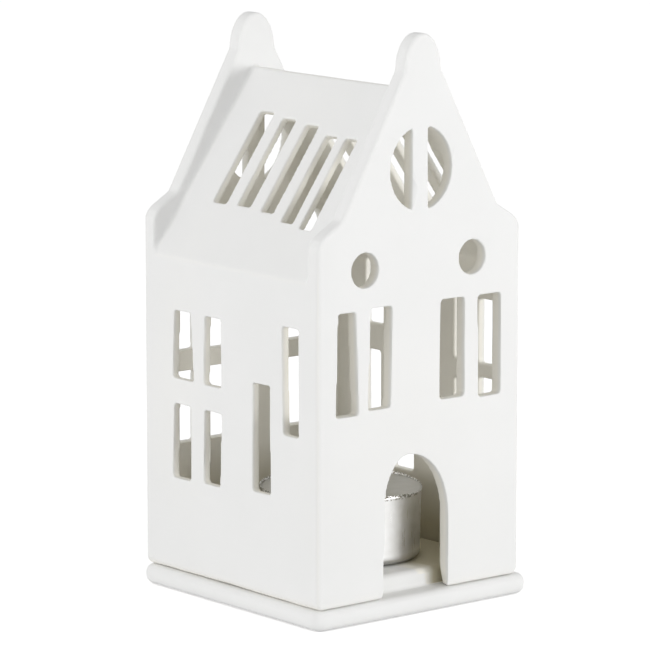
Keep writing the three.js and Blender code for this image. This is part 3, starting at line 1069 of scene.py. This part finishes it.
@dataclass
class BasePlate(Casting):
    """The plate under the house, with a raised middle that the tealight stands on.

    Attributes:
        top_height: The height just above the plate's own top.
        middle_rise: How much higher the raised middle's top begins.
        lit_place: The place in the doorway, seen from above, that the painted shade on the
            raised middle grows away from.
        lit_reach: The distances from there at which the raised middle is still unshaded, nearly
            as shaded as inside, and fully so.
        jamb_shadow: The same for the painted shadow of the door's right jamb, as places from left to
            right.
        steps: What the depth is at those three.
        tide: The unevenness of their edges.
        edge_reach: How far in from the lower edge the extra rounding goes.
        edge_lift: How far it lifts that edge.
        edge_curve: How quickly the lift grows towards the edge.
    """

    node: str = "base_plate"
    name: str = "plate_casting"
    body: Body = Body.BASE
    faces: int = 60_000
    warp: Waviness = Waviness(46 * MM, 0.05 * MM, 7)
    top_height: float = 5.1 * MM
    middle_rise: float = 2.6 * MM
    lit_place: Span = (-9 * MM, -27 * MM)
    lit_reach: tuple[float, ...] = (11.5 * MM, 13.5 * MM, 18 * MM)
    jamb_shadow: tuple[float, ...] = (4.8 * MM, 5.6 * MM, 7.6 * MM)
    steps: tuple[float, ...] = (0.0, 0.84, 1.0)
    tide: Waviness = Waviness(8 * MM, 0.9 * MM, 13)
    edge_reach: float = 2.4 * MM
    edge_lift: float = 0.35 * MM
    edge_curve: float = 1.5

    def trimmed(self, points: np.ndarray) -> np.ndarray:
        """Rounds the plate's lower edge a little more.

        Args:
            points: The plate's points.

        Returns:
            The moved points.
        """
        low, high = (np.array(corner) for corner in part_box(self.node))
        inset = np.minimum(points - low, high - points)[:, :2].min(axis=1)
        outermost = np.clip(1 - inset / self.edge_reach, 0, 1)
        low_down = np.clip(1 - (points[:, 2] - low[2]) / self.edge_reach, 0, 1)
        moved = points.copy()
        moved[:, 2] += self.edge_lift * outermost**self.edge_curve * low_down
        return moved

    def depth(self, points: np.ndarray) -> np.ndarray:
        """Painted shade on the plate: 0 on the flange and in the doorway, and 1 on the middle further in
        and in the shadow of the door's right jamb.

        Args:
            points: The plate's points.

        Returns:
            One depth for each point.
        """
        low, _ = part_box(self.node)
        tide = self.tide.at(points)
        away = np.linalg.norm(points[:, :2] - np.array(self.lit_place), axis=1)
        # Painted shade, darkening the raised middle further in from the doorway
        further_in = np.interp(away + tide, self.lit_reach, self.steps)
        # Painted shadow of the door's right jamb
        in_jamb_shadow = np.interp(points[:, 0] + tide / 2, self.jamb_shadow, self.steps)
        raised = points[:, 2] > low.z + self.top_height
        on_top = points[:, 2] > low.z + self.top_height + self.middle_rise
        return np.where(on_top, np.maximum(further_in, in_jamb_shadow), np.where(raised, in_jamb_shadow, 0))


def hollow(degrees: np.ndarray, middle: float, half: float) -> np.ndarray:
    """A smooth hump over a stretch of a circle.

    Args:
        degrees: The angle of each point.
        middle: Where the hump is highest.
        half: Half of its width.

    Returns:
        1 in its middle, falling to 0 at both ends.
    """
    away = np.clip((degrees - middle) / half, -1, 1)
    return (1 + np.cos(math.pi * away)) / 2


@dataclass(frozen=True)
class Press:
    """A stretch of a turned wall that a grip has pressed nearly flat.

    Attributes:
        middle: The angle at which it is pressed most, in degrees.
        half: Half of the stretch.
        depth: How far it is pressed in there.
        full_radius: The radius from which on it is pressed fully.
    """

    middle: float = 261.5
    half: float = 38.0
    depth: float = 1.05 * MM
    full_radius: float = 18.2 * MM

    def inwards(self, radius: np.ndarray, degrees: np.ndarray) -> np.ndarray:
        """How far points are drawn in, less towards the middle.

        Args:
            radius: The radius of each point.
            degrees: The angle of each point.

        Returns:
            The distances.
        """
        share = np.clip(radius / self.full_radius, 0, 1) ** 2
        return self.depth * share * hollow(degrees, self.middle, self.half)

    def applied(
        self, radius: np.ndarray, height: np.ndarray, turn: np.ndarray
    ) -> tuple[np.ndarray, np.ndarray]:
        """Draws a filling in as far as the wall round it.

        Args:
            radius: The radius of each point, ring by ring.
            height: The height of each point, ring by ring.
            turn: The angle of each point of a ring.

        Returns:
            The new radii and the same heights.
        """
        degrees = np.broadcast_to(np.degrees(turn), radius.shape)
        return radius - self.inwards(radius, degrees), height


@dataclass(frozen=True)
class Ripple:
    """The crimps and dents of a thin pressed wall, strongest at its rim. Angles in degrees.

    Attributes:
        rim: The rim's height.
        crimp_height: How far down from the rim the crimps go.
        crimp_curve: How quickly they grow towards the rim.
        crimp_depth: How deep they are at the rim.
        crimp_drop: How far they lower the rim.
        crimp_lag: How many points the lowering lags behind the crimps.
        crimps: About how many there are.
        crimp_spread: How far the summed waves' counts lie from that.
        crimp_step: The step between those counts.
        crimp_strength: The weakest and strongest wave.
        dent_depth: How deep the slow dents are.
        dents: The fewest and most dents of the summed waves.
        dent_start: The height from which on the dents are full.
        press: The stretch that a grip pressed.
        crease_place: The angle and height of a small crease.
        crease_size: Its size in both.
        crease_depth: Its depth.
        low_side: Where the rim is bent down.
        low_half: Half of the stretch that is.
        low_depth: How far it is.
        seed: What the random draws start from.
    """

    rim: float
    crimp_height: float = 1.5 * MM
    crimp_curve: float = 1.5
    crimp_depth: float = 0.2 * MM
    crimp_drop: float = 0.1 * MM
    crimp_lag: int = 5
    crimps: int = 170
    crimp_spread: int = 60
    crimp_step: int = 8
    crimp_strength: Span = (0.4, 1.0)
    dent_depth: float = 0.08 * MM
    dents: tuple[int, int] = (2, 8)
    dent_start: float = 3 * MM
    press: Press = Press()
    crease_place: Span = (264.0, 8.8 * MM)
    crease_size: Span = (5.0, 0.3 * MM)
    crease_depth: float = 0.1 * MM
    low_side: float = 318.0
    low_half: float = 50.0
    low_depth: float = 0.7 * MM
    seed: int = 5

    def crease(self, height: np.ndarray, degrees: np.ndarray) -> np.ndarray:
        """How deep the small level crease in the wall is.

        Args:
            height: The height of each point.
            degrees: The angle of each point.

        Returns:
            The depths.
        """
        round_it = (degrees - self.crease_place[0]) / self.crease_size[0]
        over_it = (height - self.crease_place[1]) / self.crease_size[1]
        return self.crease_depth * np.exp(-(round_it**2) - over_it**2)

    def waves(self, turn: np.ndarray) -> tuple[np.ndarray, np.ndarray]:
        """The uneven crimps and dents round the wall.

        Args:
            turn: The angle of each point of a ring.

        Returns:
            The crimps and the dents at each point, both within -1 and 1.
        """
        draw = np.random.default_rng(self.seed)
        crimp = np.zeros_like(turn)
        counts = range(self.crimps - self.crimp_spread, self.crimps + self.crimp_spread, self.crimp_step)
        for count in counts:
            phase = draw.uniform(0, 2 * math.pi)
            crimp += np.sin(count * turn + phase) * draw.uniform(*self.crimp_strength)
        dent = np.zeros_like(turn)
        for count in range(self.dents[0], self.dents[1] + 1):
            dent += np.sin(count * turn + draw.uniform(0, 2 * math.pi)) / count
        return crimp / np.abs(crimp).max(), dent / np.abs(dent).max()

    def applied(
        self, radius: np.ndarray, height: np.ndarray, turn: np.ndarray
    ) -> tuple[np.ndarray, np.ndarray]:
        """Moves the points of a turned wall.

        Args:
            radius: The radius of each point, ring by ring.
            height: The height of each point, ring by ring.
            turn: The angle of each point of a ring.

        Returns:
            The new radii and heights.
        """
        crimp, dent = self.waves(turn)
        above_smooth = np.clip((height - self.rim + self.crimp_height) / self.crimp_height, 0, 1)
        near_rim = above_smooth**self.crimp_curve
        walled = np.clip(height / self.dent_start, 0, 1)
        inwards = self.crimp_depth * near_rim * (1 - crimp) / 2 + self.dent_depth * walled * (1 - dent) / 2
        sunk = self.crimp_drop * near_rim * (1 + np.roll(crimp, self.crimp_lag)) / 2
        degrees = np.broadcast_to(np.degrees(turn), radius.shape)
        inwards = inwards + self.press.inwards(radius, degrees) + self.crease(height, degrees)
        bent = self.low_depth * near_rim * hollow(degrees, self.low_side, self.low_half)
        return radius - inwards, height - sunk - bent


@dataclass(frozen=True)
class Lathe:
    """A turned form: a profile of radii and heights that goes round an upright axis.

    Attributes:
        segments: How many faces it has round the axis.
    """

    segments: int

    def mesh(
        self, name: str, profile: Profile, centre: Vector, ripple: Ripple | Press | None = None
    ) -> bpy.types.Mesh:
        """Turns a profile into a closed mesh.

        Args:
            name: The mesh's name.
            profile: Rows of radius and height, from the axis round to the axis.
            centre: Where the axis meets height 0.
            ripple: Unevenness round the axis.

        Returns:
            The mesh.
        """
        rows = np.array(profile)
        turn = np.arange(self.segments) * 2 * math.pi / self.segments
        radius = np.repeat(rows[1:-1, 0][:, None], self.segments, axis=1)
        height = np.repeat(rows[1:-1, 1][:, None], self.segments, axis=1)
        if ripple is not None:
            radius, height = ripple.applied(radius, height, turn)
        ring = np.stack([radius * np.cos(turn), radius * np.sin(turn), height], axis=2)
        ends = np.array([[0, 0, rows[0, 1]], [0, 0, rows[-1, 1]]])
        points = np.concatenate([ring.reshape(-1, 3), ends]) + np.array(centre)
        made = bpy.data.meshes.new(name)
        made.from_pydata(points.tolist(), [], self.faces(len(radius)))
        made.update()
        smooth_shading(made)
        return made

    def faces(self, rings: int) -> list[tuple[int, ...]]:
        """The faces of a turned form that is closed at both ends.

        Args:
            rings: How many rings it has between its two end points.

        Returns:
            The faces, each as point numbers.
        """
        count = self.segments
        start, end = rings * count, rings * count + 1
        last = (rings - 1) * count
        found: list[tuple[int, ...]] = []
        for step in range(count):
            after = (step + 1) % count
            found.append((start, after, step))
            found.append((end, last + step, last + after))
            for ring in range(rings - 1):
                low, high = ring * count, (ring + 1) * count
                found.append((low + step, low + after, high + after, high + step))
        return found


def arc(centre: tuple[float, float], radius: float, start: float, end: float, steps: int) -> Profile:
    """Points on an arc of a profile.

    Args:
        centre: The arc's centre, as a radius and a height.
        radius: The arc's own radius.
        start: The first angle in degrees, counted from outwards, anticlockwise.
        end: The last angle in degrees.
        steps: How many steps it takes.

    Returns:
        Rows of radius and height, both ends included.
    """
    angles = np.radians(np.linspace(start, end, steps + 1))
    return [(centre[0] + radius * math.cos(a), centre[1] + radius * math.sin(a)) for a in angles]


@dataclass(frozen=True)
class Braid:
    """The wick's strands, laid round each other. Above the wax they lean, and at the tip they fray.

    Attributes:
        radius: The radius of the whole wick.
        strands: How many strands it has.
        strand_share: A strand's own radius, as a share of the wick's.
        pitch: The height of one full turn of a strand.
        steps: How many steps a strand takes upwards.
        sides: How many sides it has.
        foot_share: How far its lower end stands off the floor, as a share of its radius.
        tip_gap: How far its upper end stays below the top of the solid.
        lean_curve: How late the lean comes on.
        fray_start: The share of the height at which the strands begin to swell.
        fray: How much thicker they are at the tip.
    """

    radius: float = 0.85 * MM
    strands: int = 3
    strand_share: float = 0.56
    pitch: float = 5.2 * MM
    steps: int = 160
    sides: int = 14
    foot_share: float = 0.2
    tip_gap: float = 0.15 * MM
    lean_curve: float = 1.5
    fray_start: float = 0.93
    fray: float = 0.15

    def strand(self, number: int, low: Vector, high: Vector, axis: Vector, wax_top: float) -> np.ndarray:
        """The points of one strand.

        Args:
            number: Which strand it is.
            low: The lowest corner of the wick's box.
            high: The highest corner of the wick's box.
            axis: A point of the upright line that the wick starts on.
            wax_top: The height at which it leaves the wax.

        Returns:
            The points, ring by ring from the foot to the tip.
        """
        thick = self.radius * self.strand_share
        lay = self.radius - thick
        foot = thick * self.foot_share
        share = np.arange(self.steps + 1) / self.steps
        z = low.z + foot + share * (high.z - low.z - foot - self.tip_gap)
        free = np.maximum(0.0, (z - wax_top) / (high.z - wax_top))
        lean = free**self.lean_curve * (high.x - axis.x - self.radius)
        angle = 2 * math.pi * (number / self.strands + (z - low.z) / self.pitch)
        frayed = np.maximum(0.0, share - self.fray_start) / (1 - self.fray_start)
        swollen = thick * (1 + self.fray * frayed)[:, None]
        around = 2 * math.pi * np.arange(self.sides) / self.sides
        x = (axis.x + lean + lay * np.cos(angle))[:, None] + swollen * np.cos(around)
        y = (axis.y + lay * np.sin(angle))[:, None] + swollen * np.sin(around)
        return np.stack([x, y, np.broadcast_to(z[:, None], x.shape)], axis=2).reshape(-1, 3)

    def strand_faces(self, first: int) -> list[tuple[int, ...]]:
        """The faces of one strand, closed at both ends.

        Args:
            first: The number of its first point.

        Returns:
            The faces, each as point numbers.
        """
        found: list[tuple[int, ...]] = []
        for step in range(self.steps):
            here = first + step * self.sides
            above = here + self.sides
            for side in range(self.sides):
                after = (side + 1) % self.sides
                found.append((here + side, here + after, above + after, above + side))
        tip = first + self.steps * self.sides
        found.append(tuple(first + side for side in reversed(range(self.sides))))
        found.append(tuple(tip + side for side in range(self.sides)))
        return found

    def mesh(self, name: str, low: Vector, high: Vector, axis: Vector, wax_top: float) -> bpy.types.Mesh:
        """The strands as one mesh, not yet fused.

        Args:
            name: The mesh's name.
            low: The lowest corner of the wick's box.
            high: The highest corner of the wick's box.
            axis: A point of the upright line that the wick starts on.
            wax_top: The height at which it leaves the wax.

        Returns:
            The mesh.
        """
        points: list[list[float]] = []
        faces: list[tuple[int, ...]] = []
        for number in range(self.strands):
            faces += self.strand_faces(len(points))
            points += self.strand(number, low, high, axis, wax_top).tolist()
        made = bpy.data.meshes.new(name)
        made.from_pydata(points, [], faces)
        made.update()
        return made


@dataclass
class Tealight:
    """The candle: a thin pressed cup, its wax, a braided wick and the sustainer that holds it.

    Attributes:
        foil: The cup's finish.
        paraffin: The wax's finish.
        cotton: The wick's finish.
        sheet: The sustainer's finish.
        skin: The thickness of the cup's foil.
        base_radius: The radius of the cup's body at its base.
        rim_radius: The radius over its rolled rim.
        flare: Heights of the wall, each with the radius that it has there.
        base_corner: The rounding between base and wall.
        foot_ring: The width of the ring that the cup stands on.
        foot_rise: How far the base inside that ring is raised.
        roll: The radius of the rolled rim.
        wall_steps: How many points the wall's profile has.
        cup_segments: How many faces the cup has round its axis.
        wax_lift: The gap between the cup's floor and the wax.
        wax_gap: The gap between the cup's wall and the wax.
        wax_below_rim: How far the wax's edge lies below the rim.
        wax_shrink: How far the wax is drawn in from the base's radius on its way up.
        wax_shoulder: How far below the wax's edge that is.
        wax_lip: The height of the wax's straight outer edge.
        wax_rings: How many points the profile of its surface has.
        wax_segments: How many faces the wax has round its axis.
        meniscus: How far the wax climbs at the cup's wall.
        meniscus_reach: How far from the wall that climb is felt.
        collar: How far the wax climbs at the wick.
        collar_reach: How quickly that climb fades from the wick.
        dish: How far the surface sinks towards its middle.
        braid: The wick's strands.
        wick_voxel: The size of the fused wick's faces.
        wick_soft_passes: How many times its strands are softened into each other.
        wick_soft_share: How far a point moves towards its neighbours at each pass.
        disc_skin: The thickness of the sustainer's sheet.
        neck_height: The height of its neck.
        disc_segments: How many faces it has round its axis.
    """

    foil: DrawnFoil = DrawnFoil()
    paraffin: CandleWax = CandleWax()
    cotton: WaxedCotton = WaxedCotton()
    sheet: TinnedSheet = TinnedSheet()
    skin: float = 0.15 * MM
    base_radius: float = 18.45 * MM
    rim_radius: float = 19.05 * MM
    flare: tuple[tuple[float, float], ...] = (
        (1.8 * MM, 18.45 * MM),
        (12.5 * MM, 18.65 * MM),
        (15.2 * MM, 18.78 * MM),
        (16.3 * MM, 18.95 * MM),
    )
    base_corner: float = 1.2 * MM
    foot_ring: float = 2.2 * MM
    foot_rise: float = 0.35 * MM
    roll: float = 0.13 * MM
    wall_steps: int = 26
    cup_segments: int = 720
    wax_lift: float = 0.05 * MM
    wax_gap: float = 0.06 * MM
    wax_below_rim: float = 0.62 * MM
    wax_shrink: float = 0.5 * MM
    wax_shoulder: float = 3 * MM
    wax_lip: float = 0.4 * MM
    wax_rings: int = 40
    wax_segments: int = 192
    meniscus: float = 0.08 * MM
    meniscus_reach: float = 1.6 * MM
    collar: float = 0.3 * MM
    collar_reach: float = 0.8 * MM
    dish: float = 0.1 * MM
    braid: Braid = Braid()
    wick_voxel: float = 0.09 * MM
    wick_soft_passes: int = 2
    wick_soft_share: float = 0.5
    disc_skin: float = 0.28 * MM
    neck_height: float = 3 * MM
    disc_segments: int = 96

    def build(self) -> list[bpy.types.Object]:
        """Makes the four pieces and dresses them.

        Returns:
            The finished objects.
        """
        return [self.cup(), self.wax(), self.wick(), self.sustainer()]

    def axis(self) -> Vector:
        """The middle of the cup's underside."""
        low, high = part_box("tealight_cup")
        return Vector(((low.x + high.x) / 2, (low.y + high.y) / 2, low.z))

    def cup_height(self) -> float:
        """The height of the cup."""
        low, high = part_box("tealight_cup")
        return high.z - low.z

    def finished(
        self, made: bpy.types.Object, material: bpy.types.Material, node: str
    ) -> bpy.types.Object:
        """Dresses one of the candle's pieces."""
        return dressed(made, material, Body.TEALIGHT, node)

    def wall_radius(self, height: float) -> float:
        """The outside radius of the cup's wall at a height."""
        heights, radii = zip(*self.flare)
        return float(np.interp(height, heights, radii))

    def wall(self, top: float, inset: float) -> Profile:
        """The cup's wall as a profile, from the base's corner up to a height.

        Args:
            top: The height that it reaches.
            inset: How far it lies inside the outer face.

        Returns:
            Rows of radius and height.
        """
        heights = np.linspace(self.base_corner, top, self.wall_steps)
        return [(self.wall_radius(height) - inset, float(height)) for height in heights]

    def cup_profile(self, height: float) -> Profile:
        """The cup's section: a stepped base, a tapered wall, the rolled rim and the inside back down.

        Args:
            height: The cup's height.

        Returns:
            Rows of radius and height.
        """
        corner = (self.base_radius - self.base_corner, self.base_corner)
        ring_in = corner[0] - self.foot_ring
        below, above = self.foot_rise, self.foot_rise + self.skin
        rim_foot = height - 2 * self.roll
        outer = [(0.0, below), (ring_in / 2, below), (ring_in - self.foot_rise, below)]
        outer += arc((ring_in + self.foot_rise, self.foot_rise), self.foot_rise, 180, 270, steps=4)
        outer += arc(corner, self.base_corner, -90, 0, steps=8)
        outer += self.wall(rim_foot, 0)[1:]
        outer += arc((self.rim_radius - self.roll, height - self.roll), self.roll, -120, 90, steps=12)
        inner = self.wall(rim_foot + self.roll, self.skin)[:0:-1]
        inner += arc(corner, self.base_corner - self.skin, 0, -90, steps=6)
        inner += [(ring_in, above), (ring_in / 2, above), (0.0, above)]
        return outer + inner

    def cup(self) -> bpy.types.Object:
        """The pressed cup, with its crimps and dents.

        Returns:
            The finished object.
        """
        height = self.cup_height()
        lathe = Lathe(self.cup_segments)
        mesh = lathe.mesh("cup", self.cup_profile(height), self.axis(), Ripple(rim=height))
        return self.finished(add_object("cup", mesh), self.foil.material(), "tealight_cup")

    def wax_profile(self, top: float) -> Profile:
        """The wax's section: a shallow dish that climbs a little at the cup's wall and at the wick.

        Args:
            top: The height of the wax's edge.

        Returns:
            Rows of radius and height.
        """
        foot = self.foot_rise + self.skin + self.wax_lift
        edge = self.wall_radius(top) - self.skin - self.wax_gap
        corner = self.base_radius - 2 * self.base_corner
        profile = [(0.0, foot), (edge / 2, foot), (corner, foot)]
        profile += arc((corner, foot + self.base_corner), self.base_corner, -70, -10, steps=5)
        profile += [(self.base_radius - self.wax_shrink, top - self.wax_shoulder)]
        profile += [(edge, top - self.wax_lip), (edge, top)]
        for share in np.linspace(0, 1, self.wax_rings)[1:]:
            radius = edge * (1 - share)
            off_wick = max(radius - self.braid.radius, 0)
            climb = self.meniscus * math.exp(-3 * (edge - radius) / self.meniscus_reach)
            collar = self.collar * math.exp(-off_wick / self.collar_reach)
            bowl = self.dish * (1 - (radius / edge) ** 2)
            profile.append((radius, top - self.meniscus + climb + collar - bowl))
        return profile

    def wax(self) -> bpy.types.Object:
        """The wax, pressed in on one side with the cup.

        Returns:
            The finished object.
        """
        profile = self.wax_profile(self.cup_height() - self.wax_below_rim)
        mesh = Lathe(self.wax_segments).mesh("wax_fill", profile, self.axis(), Press())
        return self.finished(add_object("wax_fill", mesh), self.paraffin.material(), "wax")

    def wick(self) -> bpy.types.Object:
        """The wick: strands laid round each other, fused where they touch.

        Returns:
            The finished object.
        """
        low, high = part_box("wick")
        wax_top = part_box("wax")[1].z
        made = add_object("wick_braid", self.braid.mesh("wick_braid", low, high, self.axis(), wax_top))
        remesh_softly(made, self.wick_voxel, self.wick_soft_share, self.wick_soft_passes)
        settle(made)
        write_points(made.data, hold_within(read_points(made.data), low, high))
        smooth_shading(made.data)
        return self.finished(made, self.cotton.material(), "wick")

    def sustainer_profile(self, radius: float) -> Profile:
        """The sustainer's section: a thin disc that turns up into a short neck.

        Args:
            radius: The disc's radius.

        Returns:
            Rows of radius and height.
        """
        skin = self.disc_skin
        bore = self.braid.radius + skin
        neck = bore + skin
        profile = [(0.0, 0.0), (radius - skin / 2, 0.0)]
        profile += arc((radius - skin / 2, skin / 2), skin / 2, -90, 90, steps=6)
        profile += arc((neck + skin, 2 * skin), skin, 270, 180, steps=4)
        profile += [(neck, self.neck_height), (bore, self.neck_height), (bore, skin), (0.0, skin)]
        return profile

    def sustainer(self) -> bpy.types.Object:
        """The sustainer, on the floor of the cup.

        Returns:
            The finished object.
        """
        low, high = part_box("wick_sustainer")
        axis = self.axis()
        profile = self.sustainer_profile((high.x - low.x) / 2)
        mesh = Lathe(self.disc_segments).mesh("sustainer", profile, Vector((axis.x, axis.y, low.z)))
        made = add_object("sustainer", mesh)
        return self.finished(made, self.sheet.material(), "wick_sustainer")


def aim_along(made: bpy.types.Object, direction: Vector) -> None:
    """Turns a lamp or a camera so that it looks along a direction, upright."""
    made.rotation_mode = "QUATERNION"
    made.rotation_quaternion = direction.to_track_quat("-Z", "Y")


@dataclass(frozen=True)
class Lamp:
    """A round soft lamp. Azimuth 0 shines on the front gable and -90 on the left wall.

    Attributes:
        name: The lamp's name.
        azimuth: Where it stands round the lantern, in degrees.
        elevation: How high it stands, in degrees.
        spread: How large it looks from the lantern, in degrees.
        strength: The light that it throws on a face that is turned to it.
        distance: How far it stands away.
        aim: The place that it shines on.
    """

    name: str
    azimuth: float
    elevation: float
    spread: float
    strength: float
    distance: float
    aim: Place = (0.0, 0.0, 0.066)

    def build(self) -> None:
        """Hangs the lamp."""
        light = bpy.data.lights.new(self.name, "AREA")
        light.shape = "DISK"
        light.size = 2 * self.distance * math.tan(math.radians(self.spread / 2))
        light.energy = math.pi * self.strength * self.distance**2
        made = bpy.data.objects.new(self.name, light)
        bpy.context.scene.collection.objects.link(made)
        turn, rise = math.radians(self.azimuth), math.radians(self.elevation)
        away = Vector((math.sin(turn) * math.cos(rise), -math.cos(turn) * math.cos(rise), math.sin(rise)))
        made.location = Vector(self.aim) + away * self.distance
        aim_along(made, -away)


@dataclass
class Studio:
    """A seamless white table, soft lamps and the camera.

    Attributes:
        floor_size: The length of the table top's sides.
        floor_colour: Its colour for the light that it throws back on the lantern.
        floor_seen: Its colour where it is seen.
        floor_glow: How much brighter it is where it is seen, so that it looks white.
        sky_level: The light from the horizon.
        sky_overhead: The light from straight overhead.
        sky_seen: The light where the sky is seen.
        lens: The camera's focal length in millimetres.
        sensor: The width of its sensor in millimetres.
        clip: The nearest and furthest that it sees.
        camera_place: Where it stands.
        camera_forward: The way that it looks.
        lamps: The soft lamps.
    """

    floor_size: float = 6.0
    floor_colour: Colour = (0.82, 0.82, 0.82)
    floor_seen: Colour = (1.0, 1.0, 1.0)
    floor_glow: float = 0.42
    sky_level: float = 0.80
    sky_overhead: float = 0.48
    sky_seen: float = 1.0
    lens: float = 237.54
    sensor: float = 36.0
    clip: Span = (0.05, 50.0)
    camera_place: Place = (-0.62111, -0.75546, 0.2335)
    camera_forward: Place = (0.62391, 0.76227, -0.17227)
    lamps: tuple[Lamp, ...] = (
        Lamp("front_lamp", azimuth=26, elevation=5, spread=17, strength=1.15, distance=0.8),
        Lamp("left_lamp", azimuth=-95, elevation=14, spread=35, strength=1.08, distance=2.0),
    )

    def build(self) -> None:
        """Sets up everything round the lantern."""
        self.world()
        self.floor()
        for lamp in self.lamps:
            lamp.build()
        self.camera()

    def seen_share(self, tree: bpy.types.NodeTree) -> bpy.types.NodeSocket:
        """1 for rays that the camera sees straight, in gloss or through glass, otherwise 0.

        Args:
            tree: The node tree to add to.

        Returns:
            The share as an output.
        """
        path = tree.nodes.new("ShaderNodeLightPath")
        seen = path.outputs["Is Camera Ray"]
        for name in ("Is Glossy Ray", "Is Transmission Ray"):
            either = tree.nodes.new("ShaderNodeMath")
            either.operation = "MAXIMUM"
            tree.links.new(seen, either.inputs[0])
            tree.links.new(path.outputs[name], either.inputs[1])
            seen = either.outputs[0]
        return seen

    def world(self) -> None:
        """White where it is seen, and otherwise a light that is dimmer overhead than at the horizon."""
        world = bpy.data.worlds.new("studio")
        bpy.context.scene.world = world
        world.use_nodes = True
        tree = world.node_tree
        background = tree.nodes["Background"]
        coordinates = tree.nodes.new("ShaderNodeTexCoord")
        direction = tree.nodes.new("ShaderNodeSeparateXYZ")
        tree.links.new(coordinates.outputs["Generated"], direction.inputs["Vector"])
        dimming = tree.nodes.new("ShaderNodeMapRange")
        dimming.inputs["To Min"].default_value = self.sky_level
        dimming.inputs["To Max"].default_value = self.sky_overhead
        tree.links.new(direction.outputs["Z"], dimming.inputs["Value"])
        strength = tree.nodes.new("ShaderNodeMix")
        strength.data_type = "FLOAT"
        unseen, seen = (strength.inputs[number] for number in NUMBER_INPUTS)
        tree.links.new(self.seen_share(tree), strength.inputs["Factor"])
        tree.links.new(dimming.outputs["Result"], unseen)
        seen.default_value = self.sky_seen
        tree.links.new(strength.outputs[NUMBER_OUTPUT], background.inputs["Strength"])
        background.inputs["Color"].default_value = (1, 1, 1, 1)

    def floor(self) -> None:
        """The table top."""
        half = self.floor_size / 2
        mesh = bpy.data.meshes.new("table_top")
        corners = [(-half, -half, 0), (half, -half, 0), (half, half, 0), (-half, half, 0)]
        mesh.from_pydata(corners, [], [(0, 1, 2, 3)])
        mesh.materials.append(self.table_white())
        add_object("table_top", mesh)

    def table_white(self) -> bpy.types.Material:
        """The table's finish: pale for the lantern, and plain white where it is seen.

        Returns:
            The material.
        """
        material = bpy.data.materials.new("table_white")
        material.use_nodes = True
        tree = material.node_tree
        shader = tree.nodes["Principled BSDF"]
        colour = tree.nodes.new("ShaderNodeMix")
        colour.data_type = "RGBA"
        for number, value in zip(COLOUR_INPUTS, (self.floor_colour, self.floor_seen)):
            colour.inputs[number].default_value = (*value, 1)
        tree.links.new(self.seen_share(tree), colour.inputs["Factor"])
        tree.links.new(colour.outputs[COLOUR_OUTPUT], shader.inputs["Base Color"])
        shader.inputs["Roughness"].default_value = 1.0
        shader.inputs["Specular IOR Level"].default_value = 0.0
        glow = tree.nodes.new("ShaderNodeMath")
        glow.operation = "MULTIPLY"
        tree.links.new(self.seen_share(tree), glow.inputs[0])
        glow.inputs[1].default_value = self.floor_glow
        shader.inputs["Emission Color"].default_value = (1, 1, 1, 1)
        tree.links.new(glow.outputs[0], shader.inputs["Emission Strength"])
        return material

    def camera(self) -> None:
        """The camera, at the photograph's place and with its lens."""
        data = bpy.data.cameras.new("camera")
        data.lens = self.lens
        data.sensor_width = self.sensor
        data.clip_start, data.clip_end = self.clip
        made = bpy.data.objects.new("camera", data)
        bpy.context.scene.collection.objects.link(made)
        made.location = Vector(self.camera_place)
        aim_along(made, Vector(self.camera_forward))
        bpy.context.scene.camera = made


def main() -> None:
    """Builds the studio and every piece, and reports each one."""
    logging.basicConfig(level=logging.INFO, format="%(name)s: %(message)s")
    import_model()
    scene = bpy.context.scene
    scene.view_settings.view_transform = "Standard"
    Studio().build()
    pieces = [BasePlate().build(), HouseShell().build(), *Tealight().build()]
    for made in pieces:
        log.info("%s: %d faces", made.name, len(made.data.polygons))


if __name__ == "__main__":
    main()
